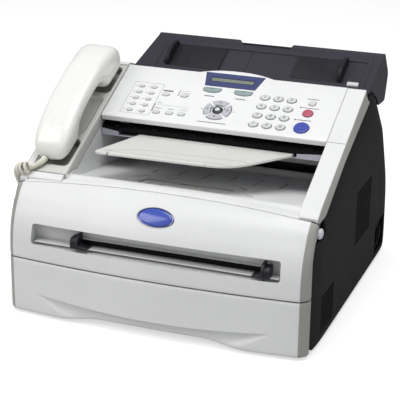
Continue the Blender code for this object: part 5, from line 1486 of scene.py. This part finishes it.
def build_prints():
    """Plain rules and bars that group the keys; no lettering."""
    marks, pale = [], []

    def bar(x0, x1, v0, v1, into):
        into.append(flat([(x0, v0), (x1, v0), (x1, v1), (x0, v1)]))
    for i, v in enumerate(ONE_V):
        for x in ONE_X:
            bar(x - 7.6, x - 5.2, v - 0.35, v + 0.35, marks)
    # thin frame of the one-touch field
    for q in ((-103.5, -65.5, 186.2, 186.6), (-103.5, -65.5, 128.9, 129.3), (-103.7, -103.3, 128.9, 186.6), (-65.7, -65.3, 128.9, 186.6)):
        bar(*q, pale)
    bar(-63.0, -50.5, 174.3, 176.6, marks)
    bar(-42.6, -41.7, 168.0, 178.6, marks)
    bar(-42.6, -29.0, 177.9, 178.6, pale)
    bar(-39.0, -27.6, 174.4, 175.2, pale)
    bar(-65.2, -64.2, 137.4, 151.0, marks)
    bar(-63.0, -20.5, 149.2, 149.7, pale)
    bar(-62.5, -54.5, 142.6, 144.4, pale)
    bar(-46.0, -38.0, 142.8, 144.4, pale)
    bar(-32.0, -20.6, 142.8, 143.5, pale)
    bar(-63.0, -56.0, 152.2, 153.4, pale)
    bar(-30.0, -20.5, 145.8, 146.4, pale)
    bar(-10.4, 2.0, 174.0, 175.5, marks)
    bar(29.0, 41.4, 174.0, 175.5, marks)
    bar(-6.8, -4.8, 150.9, 151.9, marks)
    bar(33.4, 35.4, 150.9, 151.9, marks)
    bar(-4.0, 32.0, 128.4, 129.5, marks)
    bar(114.0, 129.0, 188.4, 189.5, marks)
    bar(112.6, 132.4, 172.4, 173.4, marks)
    bar(112.0, 129.0, 150.6, 151.8, marks)
    for x, v, r in ((110.6, 172.9, 1.2), (109.8, 151.2, 1.2)):
        disc = flat([(x + a, v + b) for a, b in ring(20, r)])
        marks.append(disc)
    put("panel_marks", print_on(merged(marks), 0, 0, 0.0, 0.035), M["ink"], "control_panel", smooth=0)
    put("panel_rules", print_on(merged(pale), 0, 0, 0.0, 0.03), M["ink_pale"], "control_panel", smooth=0)


build_panel()
build_lcd()
build_keys()
build_prints()


# ------------------------------------------------- remaining parts of the frame
def dress(node, mat, width=0.35):
    """Shows a solid of the frame with its finish and broken edges."""
    ob = frame["nodes"][node]
    ob.data.materials.clear()
    ob.data.materials.append(mat)
    w = ob.modifiers.new("weld", 'WELD')
    w.merge_threshold = 0.00001
    d = ob.modifiers.new("flat", 'DECIMATE')
    d.decimate_type = 'DISSOLVE'
    d.angle_limit = radians(0.6)
    b = ob.modifiers.new("edge", 'BEVEL')
    b.width = width * MM
    b.segments = 2
    b.limit_method = 'ANGLE'
    b.angle_limit = radians(38)
    return ob


for node, mat in (("chassis_frame", "int_blk"), ("rear_cover", "char"), ("cassette_tray", "int_blk"), ("lift_plate", "steel"),
                  ("laser_unit", "int_blk"), ("drum_unit", "drumset"), ("toner_cartridge", "black"), ("main_board", "pcb"),
                  ("power_supply", "brown"), ("main_motor", "steel"), ("ac_inlet", "black"), ("opc_drum", "opc"),
                  ("heat_roller", "teflon"), ("pressure_roller", "silicone"), ("pickup_roller", "rubber")):
    dress(node, M[mat])


# ------------------------------------------------------- floor, light, camera
def studio():
    floor = bpy.data.materials.new("studio_floor")
    floor.use_nodes = True
    b = floor.node_tree.nodes["Principled BSDF"]
    b.inputs["Base Color"].default_value = (0.62, 0.62, 0.62, 1)
    b.inputs["Roughness"].default_value = 0.75
    b.inputs["Specular IOR Level"].default_value = 0.15
    b.inputs["Emission Color"].default_value = (1, 1, 1, 1)
    seen = floor.node_tree.nodes.new("ShaderNodeLightPath")
    gain = floor.node_tree.nodes.new("ShaderNodeMath")
    gain.operation = 'MULTIPLY'
    gain.inputs[1].default_value = 0.62
    floor.node_tree.links.new(seen.outputs["Is Camera Ray"], gain.inputs[0])
    floor.node_tree.links.new(gain.outputs[0], b.inputs["Emission Strength"])
    rows = []
    for i in range(40):
        t = i / 39.0
        if t < 0.6:
            y, z = mix(-4.0, 2.6, t / 0.6), 0.0
        else:
            a = (t - 0.6) / 0.4 * pi / 2
            y, z = 2.6 + 2.2 * sin(a), 2.2 * (1 - cos(a))
        rows.append([(-6.0, y, z - 0.0002), (6.0, y, z - 0.0002)])
    rows.append([(-6.0, 4.8, 7.0), (6.0, 4.8, 7.0)])
    bm = sheet(rows)
    ob = solid(bm, "studio_sweep")
    bm.free()
    ob.data.materials.append(floor)
    ob.data.shade_smooth()

    def area(name, at, to, size, power, tone=(1, 1, 1)):
        d = bpy.data.lights.new(name, 'AREA')
        d.energy = power
        d.size = size
        d.color = tone
        o = bpy.data.objects.new(name, d)
        bpy.context.scene.collection.objects.link(o)
        o.location = at
        o.rotation_euler = (Vector(to) - Vector(at)).to_track_quat('-Z', 'Y').to_euler()
    mid = (0.0, 0.0, 0.12)
    area("key", (-1.15, -1.25, 1.5), mid, 1.2, 14.0, (1.0, 0.99, 0.97))
    area("fill", (2.0, -0.9, 1.0), mid, 1.6, 4.0, (0.96, 0.98, 1.0))
    area("top", (0.25, -0.30, 2.3), mid, 1.3, 27.0)
    w = bpy.data.worlds.new("studio_air")
    w.use_nodes = True
    w.node_tree.nodes["Background"].inputs["Color"].default_value = (0.98, 0.99, 1.0, 1)
    look = w.node_tree.nodes.new("ShaderNodeLightPath")
    level = w.node_tree.nodes.new("ShaderNodeMapRange")
    level.inputs["To Min"].default_value = 0.38
    level.inputs["To Max"].default_value = 1.0
    w.node_tree.links.new(look.outputs["Is Camera Ray"], level.inputs["Value"])
    w.node_tree.links.new(level.outputs["Result"], w.node_tree.nodes["Background"].inputs["Strength"])
    sc = bpy.context.scene
    sc.world = w
    sc.view_settings.view_transform = 'Standard'
    sc.view_settings.exposure = 0.0
    cam_data = bpy.data.cameras.new("camera")
    cam_data.lens = 118.6
    cam_data.sensor_width = 36.0
    cam = bpy.data.objects.new("camera", cam_data)
    sc.collection.objects.link(cam)
    f = Vector((-0.3270, 0.8791, -0.3469)).normalized()
    right = f.cross(Vector((0, 0, 1))).normalized()
    up = right.cross(f)
    r = radians(0.7)
    r2 = right * cos(r) + up * sin(r)
    u2 = -right * sin(r) + up * cos(r)
    m = Matrix((r2, u2, -f)).transposed().to_4x4()
    m.translation = Vector((0.52135, -1.40955, 0.6598))
    cam.matrix_world = m
    sc.camera = cam


studio()
